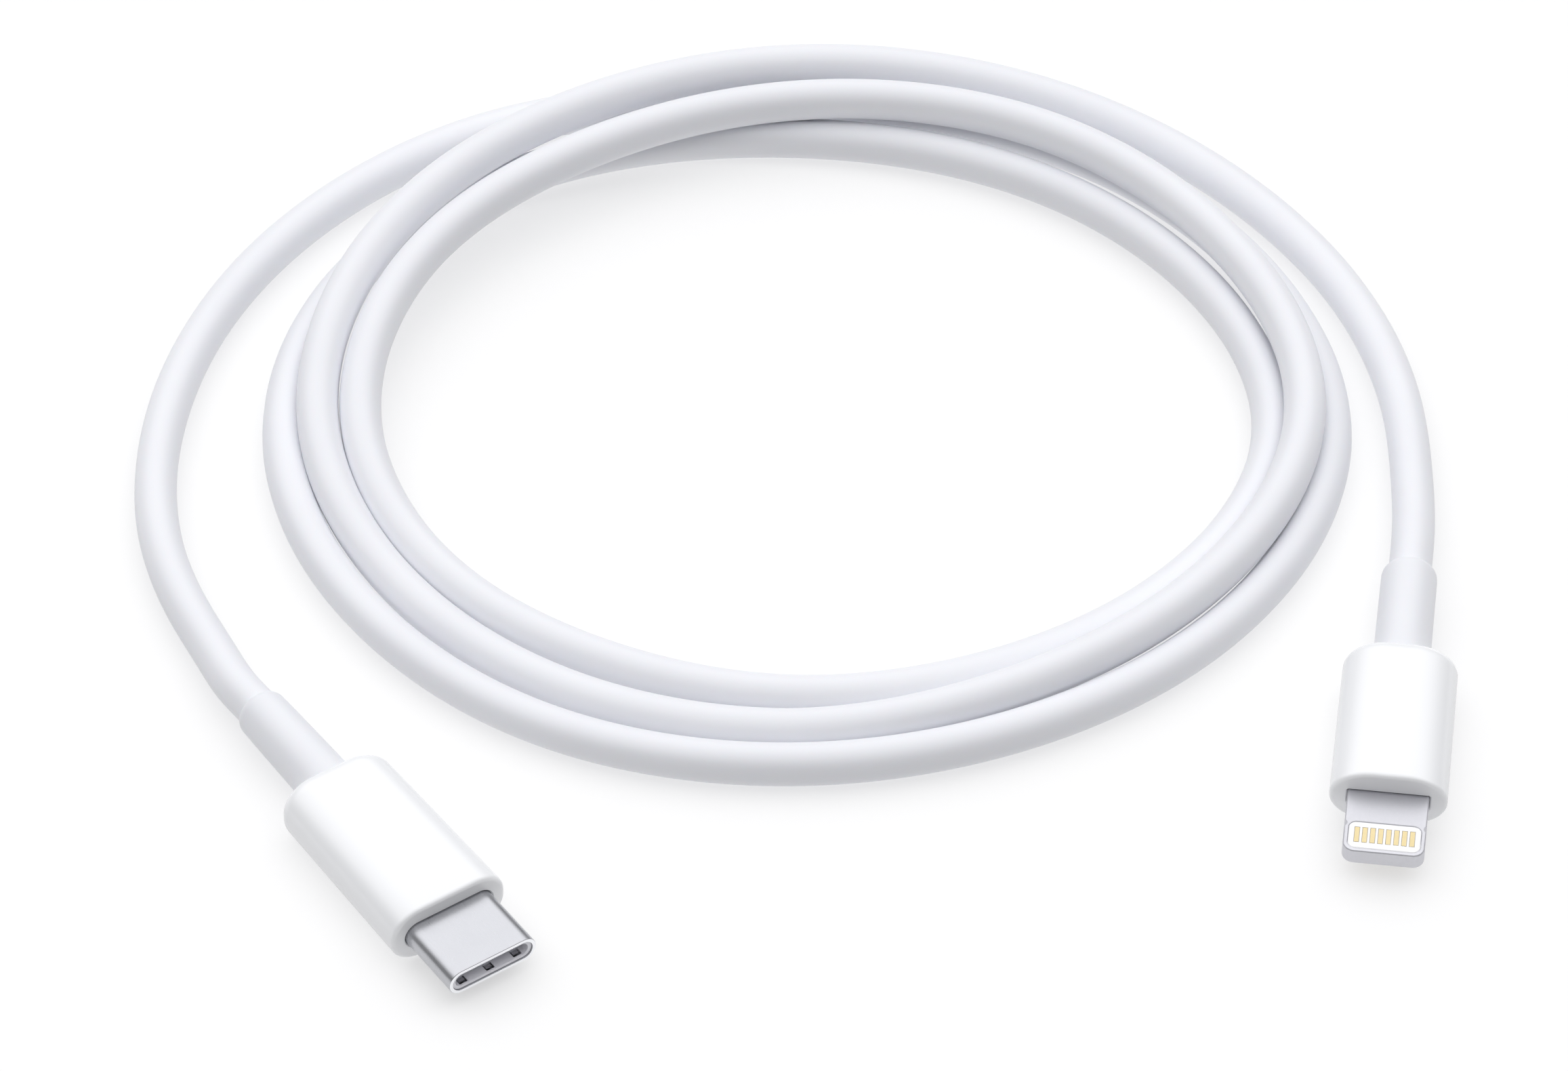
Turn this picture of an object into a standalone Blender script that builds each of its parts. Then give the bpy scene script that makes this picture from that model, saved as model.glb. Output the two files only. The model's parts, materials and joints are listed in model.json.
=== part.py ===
"""Charging cable: a reversible oval plug and a slim blade plug on one loosely coiled round cord.

Units are metres and +Z is up. The origin is on the resting surface, under the middle of the box that
holds the two plugs, and +X runs from the oval plug towards the blade plug. Each plug is modelled in its
own frame, whose origin is the middle of its grip's front face: +X is the way it is pushed in, +Y is
across its width and +Z is up. The plug's empty then carries all of its pieces to their place.
"""

import math
from dataclasses import dataclass

import bmesh
import bpy
import numpy as np
from mathutils import Vector

MM = 0.001

# Clearances.
FIT = 0.05 * MM
MOULD_FIT = 0.1 * MM
RELIEF_FIT = 0.1 * MM
CORD_GAP = 0.3 * MM
MERGE = 0.0001 * MM

# How shapes are drawn: points in a quarter turn, where a rounded edge's middle loop stands, and how far a
# cutter reaches past what it cuts.
ARC_POINTS = 7
EDGE_MIDDLE = 0.3
CUT = 1.0 * MM

# Cord.
CORD_DIAMETER = 3.65 * MM
CORD_POINTS = 80
CORD_BEVEL_RESOLUTION = 2
EXIT_RUN = 0.8
EXIT_DROP = 0.15

# How far the metal of each plug steps in where it enters the grip.
SHOULDER = 0.05 * MM

# Oval plug: drawn metal shell.
SHELL_WIDTH = 8.25 * MM
SHELL_HEIGHT = 2.4 * MM
SHELL_WALL = 0.25 * MM
SHELL_EXPOSED = 6.4 * MM
SHELL_HIDDEN = 5.6 * MM
SHELL_LIP = 0.08 * MM

# Oval plug: mouth insulator, with windows for the ground springs and slots for the latch arms.
MOUTH_SET_BACK = 0.3 * MM
MOUTH_HIDDEN = 1.8 * MM
MOUTH_WALL = 0.28 * MM
MOUTH_SIDE_WALL = 0.38 * MM
WINDOW_WIDTH = 0.8 * MM
WINDOW_LENGTH = 0.75 * MM
WINDOW_INSET = 1.545 * MM
WINDOW_PITCH = SHELL_WIDTH / 2 - WINDOW_INSET
WINDOW_BRIDGE = 0.2 * MM
SPRING_THICKNESS = 0.1 * MM
SPRING_LENGTH = 1.8 * MM
SPRING_ROOT = 0.6 * MM
SPRING_SINK = 0.1 * MM
SPRING_FINGER_WIDTH = 0.55 * MM
LATCH_SLOT_END = 1.1 * MM

# Oval plug: latch.
LATCH_THICKNESS = 0.2 * MM
LATCH_HEIGHT = 0.28 * MM
LATCH_TIP_GAP = 0.3 * MM
LATCH_NOSE = 0.35 * MM
LATCH_TRAVEL_ROOM = 0.3 * MM
LATCH_PIVOT_BEHIND = 2.2 * MM
LATCH_PLATE_LENGTH = 2.8 * MM

# Oval plug: contacts and the two blocks that hold them.
CONTACT_WIDTH = 0.26 * MM
CONTACT_THICKNESS = 0.12 * MM
CONTACT_ROW_INSET = 1.375 * MM
LAST_CONTACT = 5.5
CONTACT_PITCH = (SHELL_WIDTH / 2 - CONTACT_ROW_INSET) / LAST_CONTACT
CONTACT_REACH = 3.6 * MM
CONTACT_TAIL = 1.6 * MM
CONTACT_DIP = 0.07 * MM
CONTACT_SLOPE = (1.8 * MM, 0.8 * MM)
CONTACT_CREST = 0.5 * MM
UPPER_CONTACTS = (-LAST_CONTACT, -2.5, -1.5, -0.5, 0.5, 2.5, LAST_CONTACT)
LOWER_CONTACTS = (-LAST_CONTACT, -2.5, 1.5, 2.5, LAST_CONTACT)
BLOCK_WEB = 0.15 * MM

# Blade plug: metal ring, moulded insert and pads.
BLADE_WIDTH = 6.7 * MM
BLADE_THICKNESS = 1.5 * MM
BLADE_EXPOSED = 6.8 * MM
BLADE_HIDDEN = 4.5 * MM
BLADE_CORNER = 1.0 * MM
BLADE_EDGE = 0.12 * MM
INSERT_SIDE_WALL = 0.35 * MM
INSERT_TIP_WALL = 0.3 * MM
INSERT_LENGTH = 3.05 * MM
INSERT_CORNER = 0.7 * MM
DETENT_RADIUS = 0.45 * MM
DETENT_DEPTH = 0.25 * MM
DETENT_BEHIND_TIP = 3.1 * MM
PAD_COUNT = 8
PAD_PITCH = 0.645 * MM
PAD_WIDTH = 0.38 * MM
PAD_LENGTH = 1.65 * MM
PAD_THICKNESS = 0.1 * MM
PAD_BEHIND_TIP = 1.85 * MM

# Circuit boards, wires and crimped shields, which both plugs have.
BOARD_THICKNESS = 0.7 * MM
CHIP_SIZE = 2.4 * MM
CHIP_THICKNESS = 0.55 * MM
CHIP_BEHIND_BLADE = 1.2 * MM
SHIELD_WALL = 0.2 * MM
SHIELD_HALF_HEIGHT = 1.5 * MM
BARREL_RADIUS = 1.6 * MM
BARREL_LENGTH = 1.6 * MM
WIRE_DIAMETER = 0.8 * MM
WIRE_SPREAD = 1.2 * MM
WIRE_LAY = 0.55 * MM
WIRE_ON_BOARD = 1.6 * MM
WIRE_BEND_GAP = 0.1 * MM
WIRE_COLOURS = ("red", "black", "green", "white")

# Strain reliefs, which both grips have.
RELIEF_DIAMETER = 4.8 * MM
RELIEF_BORE = 2.7 * MM
RELIEF_NECK = 3.2 * MM
RELIEF_FLANGE_LENGTH = 0.8 * MM
RELIEF_SHOULDER = 0.4 * MM

# How far a grip's top and bottom fall at its rounded rear, as a share of half its height.
REAR_FALL = 0.3


@dataclass(frozen=True)
class Grip:
    """Sizes of one plug's grip, and where it lies: the middle of its front face and its heading."""

    prefix: str
    x: float
    y: float
    heading: float
    width: float
    rear_width: float
    height: float
    corner: float
    rear_corner: float
    length: float
    relief_length: float
    tail_end: float
    shield_width: float
    board_width: float
    board_start: float
    board_length: float
    wall: float = 0.6 * MM
    front_wall: float = 0.9 * MM
    rear_wall: float = 1.1 * MM
    edge: float = 0.35 * MM

    @property
    def cord_end(self):
        """How far behind the front face the strain relief ends."""
        return self.length + self.relief_length

    @property
    def flange_radius(self):
        """Radius of the strain relief's inner flange, which fits between the grip's top and bottom walls."""
        return self.height / 2 - self.wall - RELIEF_FIT

    @property
    def flange_front(self):
        """How far behind the front face the strain relief's inner flange starts."""
        return self.length - self.rear_wall - RELIEF_FIT - RELIEF_FLANGE_LENGTH


OVAL = Grip(
    prefix="oval",
    x=-32.3 * MM,
    y=-16.3 * MM,
    heading=math.radians(-55.0),
    width=SHELL_WIDTH + 2.5 * MM,
    rear_width=SHELL_WIDTH + 1.65 * MM,
    height=5.3 * MM,
    corner=2.4 * MM,
    rear_corner=1.9 * MM,
    length=18.0 * MM,
    relief_length=10.9 * MM,
    tail_end=SHELL_HIDDEN,
    shield_width=SHELL_WIDTH + 0.15 * MM,
    board_width=SHELL_WIDTH - 1.65 * MM,
    board_start=5.35 * MM,
    board_length=6.5 * MM,
)
BLADE = Grip(
    prefix="blade",
    x=44.0 * MM,
    y=-3.1 * MM,
    heading=math.radians(-97.5),
    width=BLADE_WIDTH + 3.0 * MM,
    rear_width=BLADE_WIDTH + 2.9 * MM,
    height=5.5 * MM,
    corner=2.5 * MM,
    rear_corner=1.2 * MM,
    length=16.2 * MM,
    relief_length=10.7 * MM,
    tail_end=BLADE_HIDDEN,
    shield_width=BLADE_WIDTH + 0.3 * MM,
    board_width=BLADE_WIDTH - 1.5 * MM,
    board_start=INSERT_LENGTH + INSERT_TIP_WALL + 0.3 * MM - BLADE_EXPOSED,
    board_length=13.75 * MM,
)

# The cord's route, which starts behind the oval plug and runs clockwise, as seen from above. The coil is
# laid out as on a clock face: one table for each turn, an hour at a time from 9 o'clock on, with the cord's
# distance from the coil's middle in mm and how many cord diameters the turns under it raise it by.
COIL_MIDDLE = (-5.4 * MM, 41.2 * MM)
FIRST_HOUR = 9
OUTER_TURN = (
    (53.9, 0.0), (51.8, 0.0), (48.9, 0.0), (45.0, 0.0), (46.3, 0.0),
    (47.3, 0.0), (47.3, 0.0), (43.8, 0.0), (40.4, 0.0), (39.3, 0.0), (40.0, 0.0),
)
LOWER_TURN = (
    (41.3, 0.0), (43.3, 0.0), (43.9, 0.0), (42.2, 0.0), (40.5, 0.0), (41.1, 0.0),
    (42.2, 0.0), (42.2, 0.0), (37.4, 0.0), (33.1, 0.0), (31.3, 0.0), (31.1, 0.0),
)
UPPER_TURN = (
    (33.4, 0.05), (36.5, 0.48), (37.7, 0.98), (38.7, 1.0), (41.4, 0.97), (44.3, 0.9),
    (45.1, 0.84), (44.9, 0.78), (40.6, 0.57), (36.7, 0.3), (35.3, 0.0), (35.6, 0.0),
)
LAST_TURN = (
    (37.2, 0.04), (40.2, 0.49), (42.0, 0.97), (44.1, 1.0), (46.9, 0.9), (50.7, 0.35),
    (52.9, 0.0),
)
OVAL_LEAD = ((-52.8, 14.2, 0.07), (-56.0, 21.0, 0.0), (-58.3, 27.8, 0.0))
BLADE_LEAD = ((48.4, 44.6, 0.0), (48.6, 37.0, 0.0), (48.4, 31.4, 0.07))


def material(name, colour, roughness, metallic=0.0):
    """A plain Principled material, made once for each name."""
    found = bpy.data.materials.get(name)
    if found:
        return found
    made = bpy.data.materials.new(name)
    made.use_nodes = True
    shader = made.node_tree.nodes["Principled BSDF"]
    shader.inputs["Base Color"].default_value = (*colour, 1.0)
    shader.inputs["Roughness"].default_value = roughness
    shader.inputs["Metallic"].default_value = metallic
    made.diffuse_color = (*colour, 1.0)
    return made


def cord_jacket():
    return material("cord_jacket", (0.86, 0.87, 0.9), 0.45)


def grip_plastic():
    return material("grip_plastic", (0.9, 0.9, 0.92), 0.25)


def relief_elastomer():
    return material("relief_elastomer", (0.86, 0.87, 0.9), 0.4)


def polished_steel():
    return material("polished_steel", (0.78, 0.78, 0.8), 0.2, 1.0)


def spring_steel():
    return material("spring_steel", (0.5, 0.5, 0.52), 0.35, 1.0)


def nickel_plate():
    return material("nickel_plate", (0.75, 0.75, 0.76), 0.3, 1.0)


def gold_plate():
    return material("gold_plate", (0.86, 0.72, 0.42), 0.3, 1.0)


def contact_plastic():
    return material("contact_plastic", (0.55, 0.55, 0.6), 0.5)


def insert_plastic():
    return material("insert_plastic", (0.93, 0.93, 0.95), 0.35)


def core_plastic():
    return material("core_plastic", (0.8, 0.8, 0.8), 0.6)


def board_laminate():
    return material("board_laminate", (0.06, 0.3, 0.16), 0.5)


def chip_plastic():
    return material("chip_plastic", (0.03, 0.03, 0.03), 0.5)


def add_object(name, mesh, made_of, parent, location=(0, 0, 0)):
    """The bmesh as an object of this name and material, under this parent."""
    data = bpy.data.meshes.new(name)
    mesh.to_mesh(data)
    mesh.free()
    data.shade_smooth()
    data.set_sharp_from_angle(angle=math.radians(30))
    added = bpy.data.objects.new(name, data)
    if made_of:
        data.materials.append(made_of)
    added.parent = parent
    added.location = location
    bpy.context.scene.collection.objects.link(added)
    return added


def add_empty(name, x, y, z, heading=0.0):
    """An empty at this place, turned about +Z."""
    added = bpy.data.objects.new(name, None)
    added.location = (x, y, z)
    added.rotation_euler = (0, 0, heading)
    bpy.context.scene.collection.objects.link(added)
    return added


def section(x, half_width, half_height, radius):
    """One rounded rectangle across the plug at x, as points that run anticlockwise seen from the front."""
    points = []
    for side_y, side_z, start in ((1, -1, -90), (1, 1, 0), (-1, 1, 90), (-1, -1, 180)):
        for step in range(ARC_POINTS):
            angle = math.radians(start + 90 * step / (ARC_POINTS - 1))
            y = side_y * (half_width - radius) + radius * math.cos(angle)
            z = side_z * (half_height - radius) + radius * math.sin(angle)
            points.append(Vector((x, y, z)))
    return points


def oval_section(x, half_width, half_height):
    """One oval across the plug at x: its ends are half circles."""
    return section(x, half_width, half_height, half_height)


def round_section(x, radius):
    """One circle across the plug at x."""
    return section(x, radius, radius, radius)


def turned_flat(points):
    """The points of a section, laid flat: across stays across, and up becomes forward."""
    return [Vector((point.z, point.y, point.x)) for point in points]


def skin(loops, is_ring=False):
    """A closed bmesh through the loops. It's capped at both ends, or joined end to end as a ring."""
    mesh = bmesh.new()
    rings = [[mesh.verts.new(point) for point in loop] for loop in loops]
    pairs = list(zip(rings, rings[1:]))
    if is_ring:
        pairs.append((rings[-1], rings[0]))
    else:
        mesh.faces.new(rings[0])
        mesh.faces.new(rings[-1])
    for first, second in pairs:
        for i, vertex in enumerate(first):
            j = (i + 1) % len(first)
            mesh.faces.new((vertex, first[j], second[j], second[i]))
    bmesh.ops.remove_doubles(mesh, verts=mesh.verts, dist=MERGE)
    bmesh.ops.recalc_face_normals(mesh, faces=mesh.faces)
    return mesh


def prism(outline, along):
    """A bmesh of the outline's face extruded along this vector."""
    mesh = bmesh.new()
    face = mesh.faces.new([mesh.verts.new(point) for point in outline])
    made = bmesh.ops.extrude_face_region(mesh, geom=[face])
    moved = [item for item in made["geom"] if isinstance(item, bmesh.types.BMVert)]
    bmesh.ops.translate(mesh, verts=moved, vec=along)
    bmesh.ops.recalc_face_normals(mesh, faces=mesh.faces)
    return mesh


def block(low, high):
    """A bmesh box between two corners."""
    outline = [
        Vector((low[0], low[1], low[2])),
        Vector((high[0], low[1], low[2])),
        Vector((high[0], high[1], low[2])),
        Vector((low[0], high[1], low[2])),
    ]
    return prism(outline, Vector((0, 0, high[2] - low[2])))


def bent_strip(path, y, width, thickness):
    """A bmesh of flat strip that follows a path of (x, z) points, thickness measured square to it."""
    upper = []
    lower = []
    for i, (x, z) in enumerate(path):
        before = path[max(i - 1, 0)]
        after = path[min(i + 1, len(path) - 1)]
        slope = math.atan2(after[1] - before[1], after[0] - before[0])
        across_x = -math.sin(slope) * thickness / 2
        across_z = math.cos(slope) * thickness / 2
        upper.append(Vector((x + across_x, y - width / 2, z + across_z)))
        lower.append(Vector((x - across_x, y - width / 2, z - across_z)))
    return prism(upper + lower[::-1], Vector((0, width, 0)))


def cut(target, name, mesh):
    """Cuts the bmesh out of the target with a Boolean, whose cutter stays out of the render."""
    cutter = add_object(f"{target.name}_{name}_cutter", mesh, None, target.parent)
    cutter.hide_render = True
    cutter.display_type = "WIRE"
    modifier = target.modifiers.new(name, "BOOLEAN")
    modifier.operation = "DIFFERENCE"
    modifier.solver = "EXACT"
    modifier.object = cutter


def join(target, name, mesh):
    """Unites the bmesh with the target with a Boolean, whose helper stays out of the render."""
    cut(target, name, mesh)
    target.modifiers[name].operation = "UNION"


def make_boot(grip, parent, hole):
    """The hard moulded grip: a hollow sleeve with a hole in front for the plug and one behind."""
    half_height = grip.height / 2
    front = grip.width / 2
    rear = grip.rear_width / 2
    edge = grip.edge
    wall = grip.wall
    back = -grip.length
    rear_steps = 5
    inset = edge * EDGE_MIDDLE
    loops = [
        hole(0),
        section(0, front - edge, half_height - edge, grip.corner - edge),
        section(-inset, front - inset, half_height - inset, grip.corner - inset),
        section(-edge, front, half_height, grip.corner),
    ]
    round_radius = grip.rear_corner
    for step in range(rear_steps + 1):
        angle = math.radians(90 * step / rear_steps)
        inset = round_radius * (1 - math.cos(angle))
        rise = min(inset, half_height * REAR_FALL)
        x = back + round_radius * (1 - math.sin(angle))
        loops.append(section(x, rear - inset, half_height - rise, grip.corner - rise))
    inner_corner = grip.corner - wall
    loops += [
        round_section(back, RELIEF_NECK / 2 + FIT),
        round_section(back + grip.rear_wall, RELIEF_NECK / 2 + FIT),
        section(back + grip.rear_wall, rear - round_radius - FIT, half_height - wall, inner_corner),
        section(back + grip.rear_wall + round_radius, rear - wall, half_height - wall, inner_corner),
        section(-grip.front_wall, front - wall, half_height - wall, inner_corner),
        hole(-grip.front_wall),
    ]
    return add_object(f"{grip.prefix}_boot", skin(loops, is_ring=True), grip_plastic(), parent)


def make_relief(grip, parent):
    """The flexible strain relief: a tube with a neck in the boot's rear hole and a flange inside it."""
    outer = RELIEF_DIAMETER / 2
    neck = RELIEF_NECK / 2
    flange = grip.flange_radius
    bore = RELIEF_BORE / 2
    face = -grip.length - RELIEF_FIT
    back = -grip.cord_end
    inside = -grip.length + grip.rear_wall + RELIEF_FIT
    front = -grip.flange_front
    inset = RELIEF_SHOULDER * EDGE_MIDDLE
    loops = [
        round_section(back, bore),
        round_section(back, outer - RELIEF_SHOULDER),
        round_section(back + inset, outer - inset),
        round_section(back + RELIEF_SHOULDER, outer),
        round_section(face, outer),
        round_section(face, neck),
        round_section(inside, neck),
        round_section(inside, flange),
        round_section(front, flange),
        round_section(front, bore),
    ]
    name = f"{grip.prefix}_strain_relief"
    return add_object(name, skin(loops, is_ring=True), relief_elastomer(), parent)


def shield_back(grip):
    """How far behind the front face the shield's crimped barrel ends."""
    return grip.flange_front - 2 * RELIEF_FIT - RELIEF_FIT


def make_shield(grip, parent):
    """The folded shield: a flat oval can over the board that necks down to a crimped barrel."""
    back = shield_back(grip)
    neck = back - BARREL_LENGTH
    front = grip.tail_end + 2 * RELIEF_FIT
    can_end = neck - BARREL_LENGTH / 2
    half_width = grip.shield_width / 2
    loops = [
        oval_section(-front, half_width, SHIELD_HALF_HEIGHT),
        oval_section(-can_end, half_width, SHIELD_HALF_HEIGHT),
        round_section(-neck, BARREL_RADIUS),
        round_section(-back, BARREL_RADIUS),
        round_section(-back, BARREL_RADIUS - SHIELD_WALL),
        round_section(-neck, BARREL_RADIUS - SHIELD_WALL),
        oval_section(-can_end, half_width - SHIELD_WALL, SHIELD_HALF_HEIGHT - SHIELD_WALL),
        oval_section(-front, half_width - SHIELD_WALL, SHIELD_HALF_HEIGHT - SHIELD_WALL),
    ]
    name = f"{grip.prefix}_inner_shield"
    return add_object(name, skin(loops, is_ring=True), spring_steel(), parent)


def make_core(grip, parent, tail_section):
    """The inner mould that fills the boot round the plug's tail and the shield."""
    back = shield_back(grip)
    neck = back - BARREL_LENGTH
    can_end = neck - BARREL_LENGTH / 2
    step = grip.tail_end + RELIEF_FIT
    front = grip.front_wall + MOULD_FIT
    half_width = min(grip.width, grip.rear_width) / 2 - grip.wall - MOULD_FIT
    half_height = grip.height / 2 - grip.wall - MOULD_FIT
    corner = grip.corner - grip.wall - MOULD_FIT
    taper = grip.length - grip.rear_wall - grip.rear_corner - MOULD_FIT
    rear_width = grip.rear_width / 2 - grip.rear_corner - 3 * MOULD_FIT
    can = grip.shield_width / 2 + FIT
    loops = [
        section(-front, half_width, half_height, corner),
        section(-min(taper, back - MOULD_FIT), half_width, half_height, corner),
        section(-back, rear_width, half_height - FIT, corner),
        round_section(-back, BARREL_RADIUS + FIT),
        round_section(-neck, BARREL_RADIUS + FIT),
        oval_section(-can_end - FIT, can, SHIELD_HALF_HEIGHT + FIT),
        oval_section(-step, can, SHIELD_HALF_HEIGHT + FIT),
        tail_section(-step),
        tail_section(-front),
    ]
    name = f"{grip.prefix}_inner_mould"
    return add_object(name, skin(loops, is_ring=True), core_plastic(), parent)


def make_board(grip, parent):
    """The circuit board that joins the plug's contacts to the wires."""
    low = (-grip.board_start - grip.board_length, -grip.board_width / 2, -BOARD_THICKNESS / 2)
    high = (-grip.board_start, grip.board_width / 2, BOARD_THICKNESS / 2)
    return add_object(f"{grip.prefix}_circuit_board", block(low, high), board_laminate(), parent)


def make_wires(grip, parent):
    """Four insulated wires, from the board's pads through the barrel and the relief to the cord's end."""
    board_back = grip.board_start + grip.board_length
    back = shield_back(grip)
    level = BOARD_THICKNESS / 2 + FIT + WIRE_DIAMETER / 2
    colours = {"red": (0.7, 0.05, 0.04), "black": (0.02, 0.02, 0.02), "green": (0.04, 0.4, 0.1),
               "white": (0.85, 0.85, 0.85)}
    for i, colour in enumerate(WIRE_COLOURS):
        side = 1 if i % 2 else -1
        face = 1 if i < 2 else -1
        path = [
            (-board_back + WIRE_ON_BOARD, side * WIRE_SPREAD, face * level),
            (-board_back - WIRE_BEND_GAP, side * WIRE_SPREAD, face * level),
            (-back + BARREL_LENGTH, side * WIRE_LAY, face * WIRE_LAY),
            (-grip.cord_end + FIT, side * WIRE_LAY, face * WIRE_LAY),
        ]
        finish = material(f"wire_{colour}", colours[colour], 0.4)
        add_tube(f"{grip.prefix}_wire_{colour}", path, WIRE_DIAMETER, 1, finish, parent)


def add_tube(name, path, diameter, bevel_resolution, made_of, parent=None):
    """A round tube with filled caps along a list of points."""
    curve = bpy.data.curves.new(name, "CURVE")
    curve.dimensions = "3D"
    curve.bevel_depth = diameter / 2
    curve.bevel_resolution = bevel_resolution
    curve.use_fill_caps = True
    spline = curve.splines.new("POLY")
    spline.points.add(len(path) - 1)
    for point, place in zip(spline.points, path):
        point.co = (*map(float, place), 1.0)
    curve.materials.append(made_of)
    added = bpy.data.objects.new(name, curve)
    added.parent = parent
    bpy.context.scene.collection.objects.link(added)
    return added


def make_shell(parent):
    """The drawn steel shell: an oval tube with a rolled lip at its mouth and a shoulder at the grip."""
    half_width = SHELL_WIDTH / 2
    half_height = SHELL_HEIGHT / 2
    tip = SHELL_EXPOSED
    lip = SHELL_LIP
    inset = lip * EDGE_MIDDLE
    loops = [
        oval_section(-SHELL_HIDDEN, half_width - SHOULDER, half_height - SHOULDER),
        oval_section(FIT, half_width - SHOULDER, half_height - SHOULDER),
        oval_section(FIT, half_width, half_height),
        oval_section(tip - lip, half_width, half_height),
        oval_section(tip - inset, half_width - inset, half_height - inset),
        oval_section(tip, half_width - lip, half_height - lip),
        oval_section(tip, half_width - SHELL_WALL + lip, half_height - SHELL_WALL + lip),
        oval_section(tip - lip, half_width - SHELL_WALL, half_height - SHELL_WALL),
        oval_section(-SHELL_HIDDEN, half_width - SHELL_WALL, half_height - SHELL_WALL),
    ]
    return add_object("oval_shell", skin(loops, is_ring=True), polished_steel(), parent)


def mouth_half_height():
    """Half the height of what fits in the shell."""
    return SHELL_HEIGHT / 2 - SHELL_WALL - FIT


def mouth_half_width():
    """Half the width of what fits in the shell."""
    return SHELL_WIDTH / 2 - SHELL_WALL - FIT


def spring_recess():
    """How deep the ground springs lie in the insulator's outer faces."""
    return SPRING_THICKNESS + FIT


def make_insulator(parent):
    """The mouth insulator: an oval tube with windows, spring recesses and two latch slots."""
    half_width = mouth_half_width()
    half_height = mouth_half_height()
    front = SHELL_EXPOSED - MOUTH_SET_BACK
    back = -MOUTH_HIDDEN
    inner_width = half_width - MOUTH_SIDE_WALL
    inner_height = half_height - MOUTH_WALL
    loops = [
        oval_section(back, half_width, half_height),
        oval_section(front, half_width, half_height),
        oval_section(front, inner_width, inner_height),
        oval_section(back, inner_width, inner_height),
    ]
    mesh = skin(loops, is_ring=True)
    insulator = add_object("oval_front_insulator", mesh, contact_plastic(), parent)
    window_front = front - WINDOW_BRIDGE
    recess_back = window_front - WINDOW_LENGTH - SPRING_LENGTH
    for side, face in (("upper", 1), ("lower", -1)):
        floor = face * (half_height - spring_recess())
        outside = face * (half_height + CUT)
        low = (recess_back, -half_width + half_height, min(floor, outside))
        high = (window_front, half_width - half_height, max(floor, outside))
        cut(insulator, f"{side}_recess", block(low, high))
        for i in (-1, 0, 1):
            y = i * WINDOW_PITCH
            depth = sorted((0, outside))
            low = (window_front - WINDOW_LENGTH, y - WINDOW_WIDTH / 2, depth[0])
            high = (window_front, y + WINDOW_WIDTH / 2, depth[1])
            cut(insulator, f"{side}_window_{i + 2}", block(low, high))
    slot_half_height = LATCH_HEIGHT / 2 + FIT
    for side, y in (("left", 1), ("right", -1)):
        across = sorted((y * (inner_width - MOUTH_SIDE_WALL), y * (half_width + CUT)))
        low = (back - CUT, across[0], -slot_half_height)
        high = (front - LATCH_SLOT_END, across[1], slot_half_height)
        cut(insulator, f"{side}_latch_slot", block(low, high))
    return insulator


def make_ground_springs(parent):
    """Two stamped ground springs, each a strip across the plug with three fingers in the windows."""
    half_height = mouth_half_height()
    window_front = SHELL_EXPOSED - MOUTH_SET_BACK - WINDOW_BRIDGE
    window_back = window_front - WINDOW_LENGTH
    plate_back = window_back - SPRING_LENGTH + FIT
    level = half_height - spring_recess() / 2
    sunk = level - SPRING_SINK
    half_span = mouth_half_width() - half_height - FIT
    for side, face in (("upper", 1), ("lower", -1)):
        half = SPRING_THICKNESS / 2
        low = (plate_back, -half_span, face * level - half)
        high = (window_back - SPRING_ROOT, half_span, face * level + half)
        name = f"oval_ground_spring_{side}"
        spring = add_object(name, block(low, high), spring_steel(), parent)
        for i in (-1, 0, 1):
            path = [
                (plate_back + SPRING_ROOT, face * level),
                (window_back + FIT, face * level),
                (window_back + WINDOW_LENGTH / 2, face * sunk),
                (window_front - 3 * FIT, face * sunk),
            ]
            finger = bent_strip(path, i * WINDOW_PITCH, SPRING_FINGER_WIDTH, SPRING_THICKNESS)
            join(spring, f"finger_{i + 2}", finger)


def latch_outside():
    """Distance from the plug's middle plane to a latch arm's outer face."""
    return mouth_half_width() + FIT - LATCH_TRAVEL_ROOM


def make_latch(parent):
    """The latch: a fixed plate between the contact blocks, and two spring arms with noses."""
    half_height = LATCH_HEIGHT / 2
    plate_front = -LATCH_PIVOT_BEHIND - 2 * FIT
    low = (plate_front - LATCH_PLATE_LENGTH, -latch_outside(), -half_height)
    high = (plate_front, latch_outside(), half_height)
    add_object("oval_latch_plate", block(low, high), spring_steel(), parent)
    tip = SHELL_EXPOSED - MOUTH_SET_BACK - LATCH_SLOT_END - LATCH_TIP_GAP + LATCH_PIVOT_BEHIND
    nose = LATCH_THICKNESS / 2 + LATCH_NOSE
    half = LATCH_THICKNESS / 2
    for side, y in (("left", 1), ("right", -1)):
        outline = [
            Vector((0, y * half, -half_height)),
            Vector((tip, y * half, -half_height)),
            Vector((tip, -y * half, -half_height)),
            Vector((tip - LATCH_NOSE, -y * nose, -half_height)),
            Vector((tip - 2 * LATCH_NOSE, -y * nose, -half_height)),
            Vector((tip - 4 * LATCH_NOSE, -y * half, -half_height)),
            Vector((0, -y * half, -half_height)),
        ]
        pivot = (-LATCH_PIVOT_BEHIND, y * (latch_outside() - half), 0)
        arm = prism(outline, Vector((0, 0, LATCH_HEIGHT)))
        add_object(f"oval_latch_arm_{side}", arm, spring_steel(), parent, pivot)


def contact_level():
    """Height of a contact strip's middle above the plug's middle plane."""
    return BOARD_THICKNESS / 2 + FIT + CONTACT_THICKNESS / 2


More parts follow.
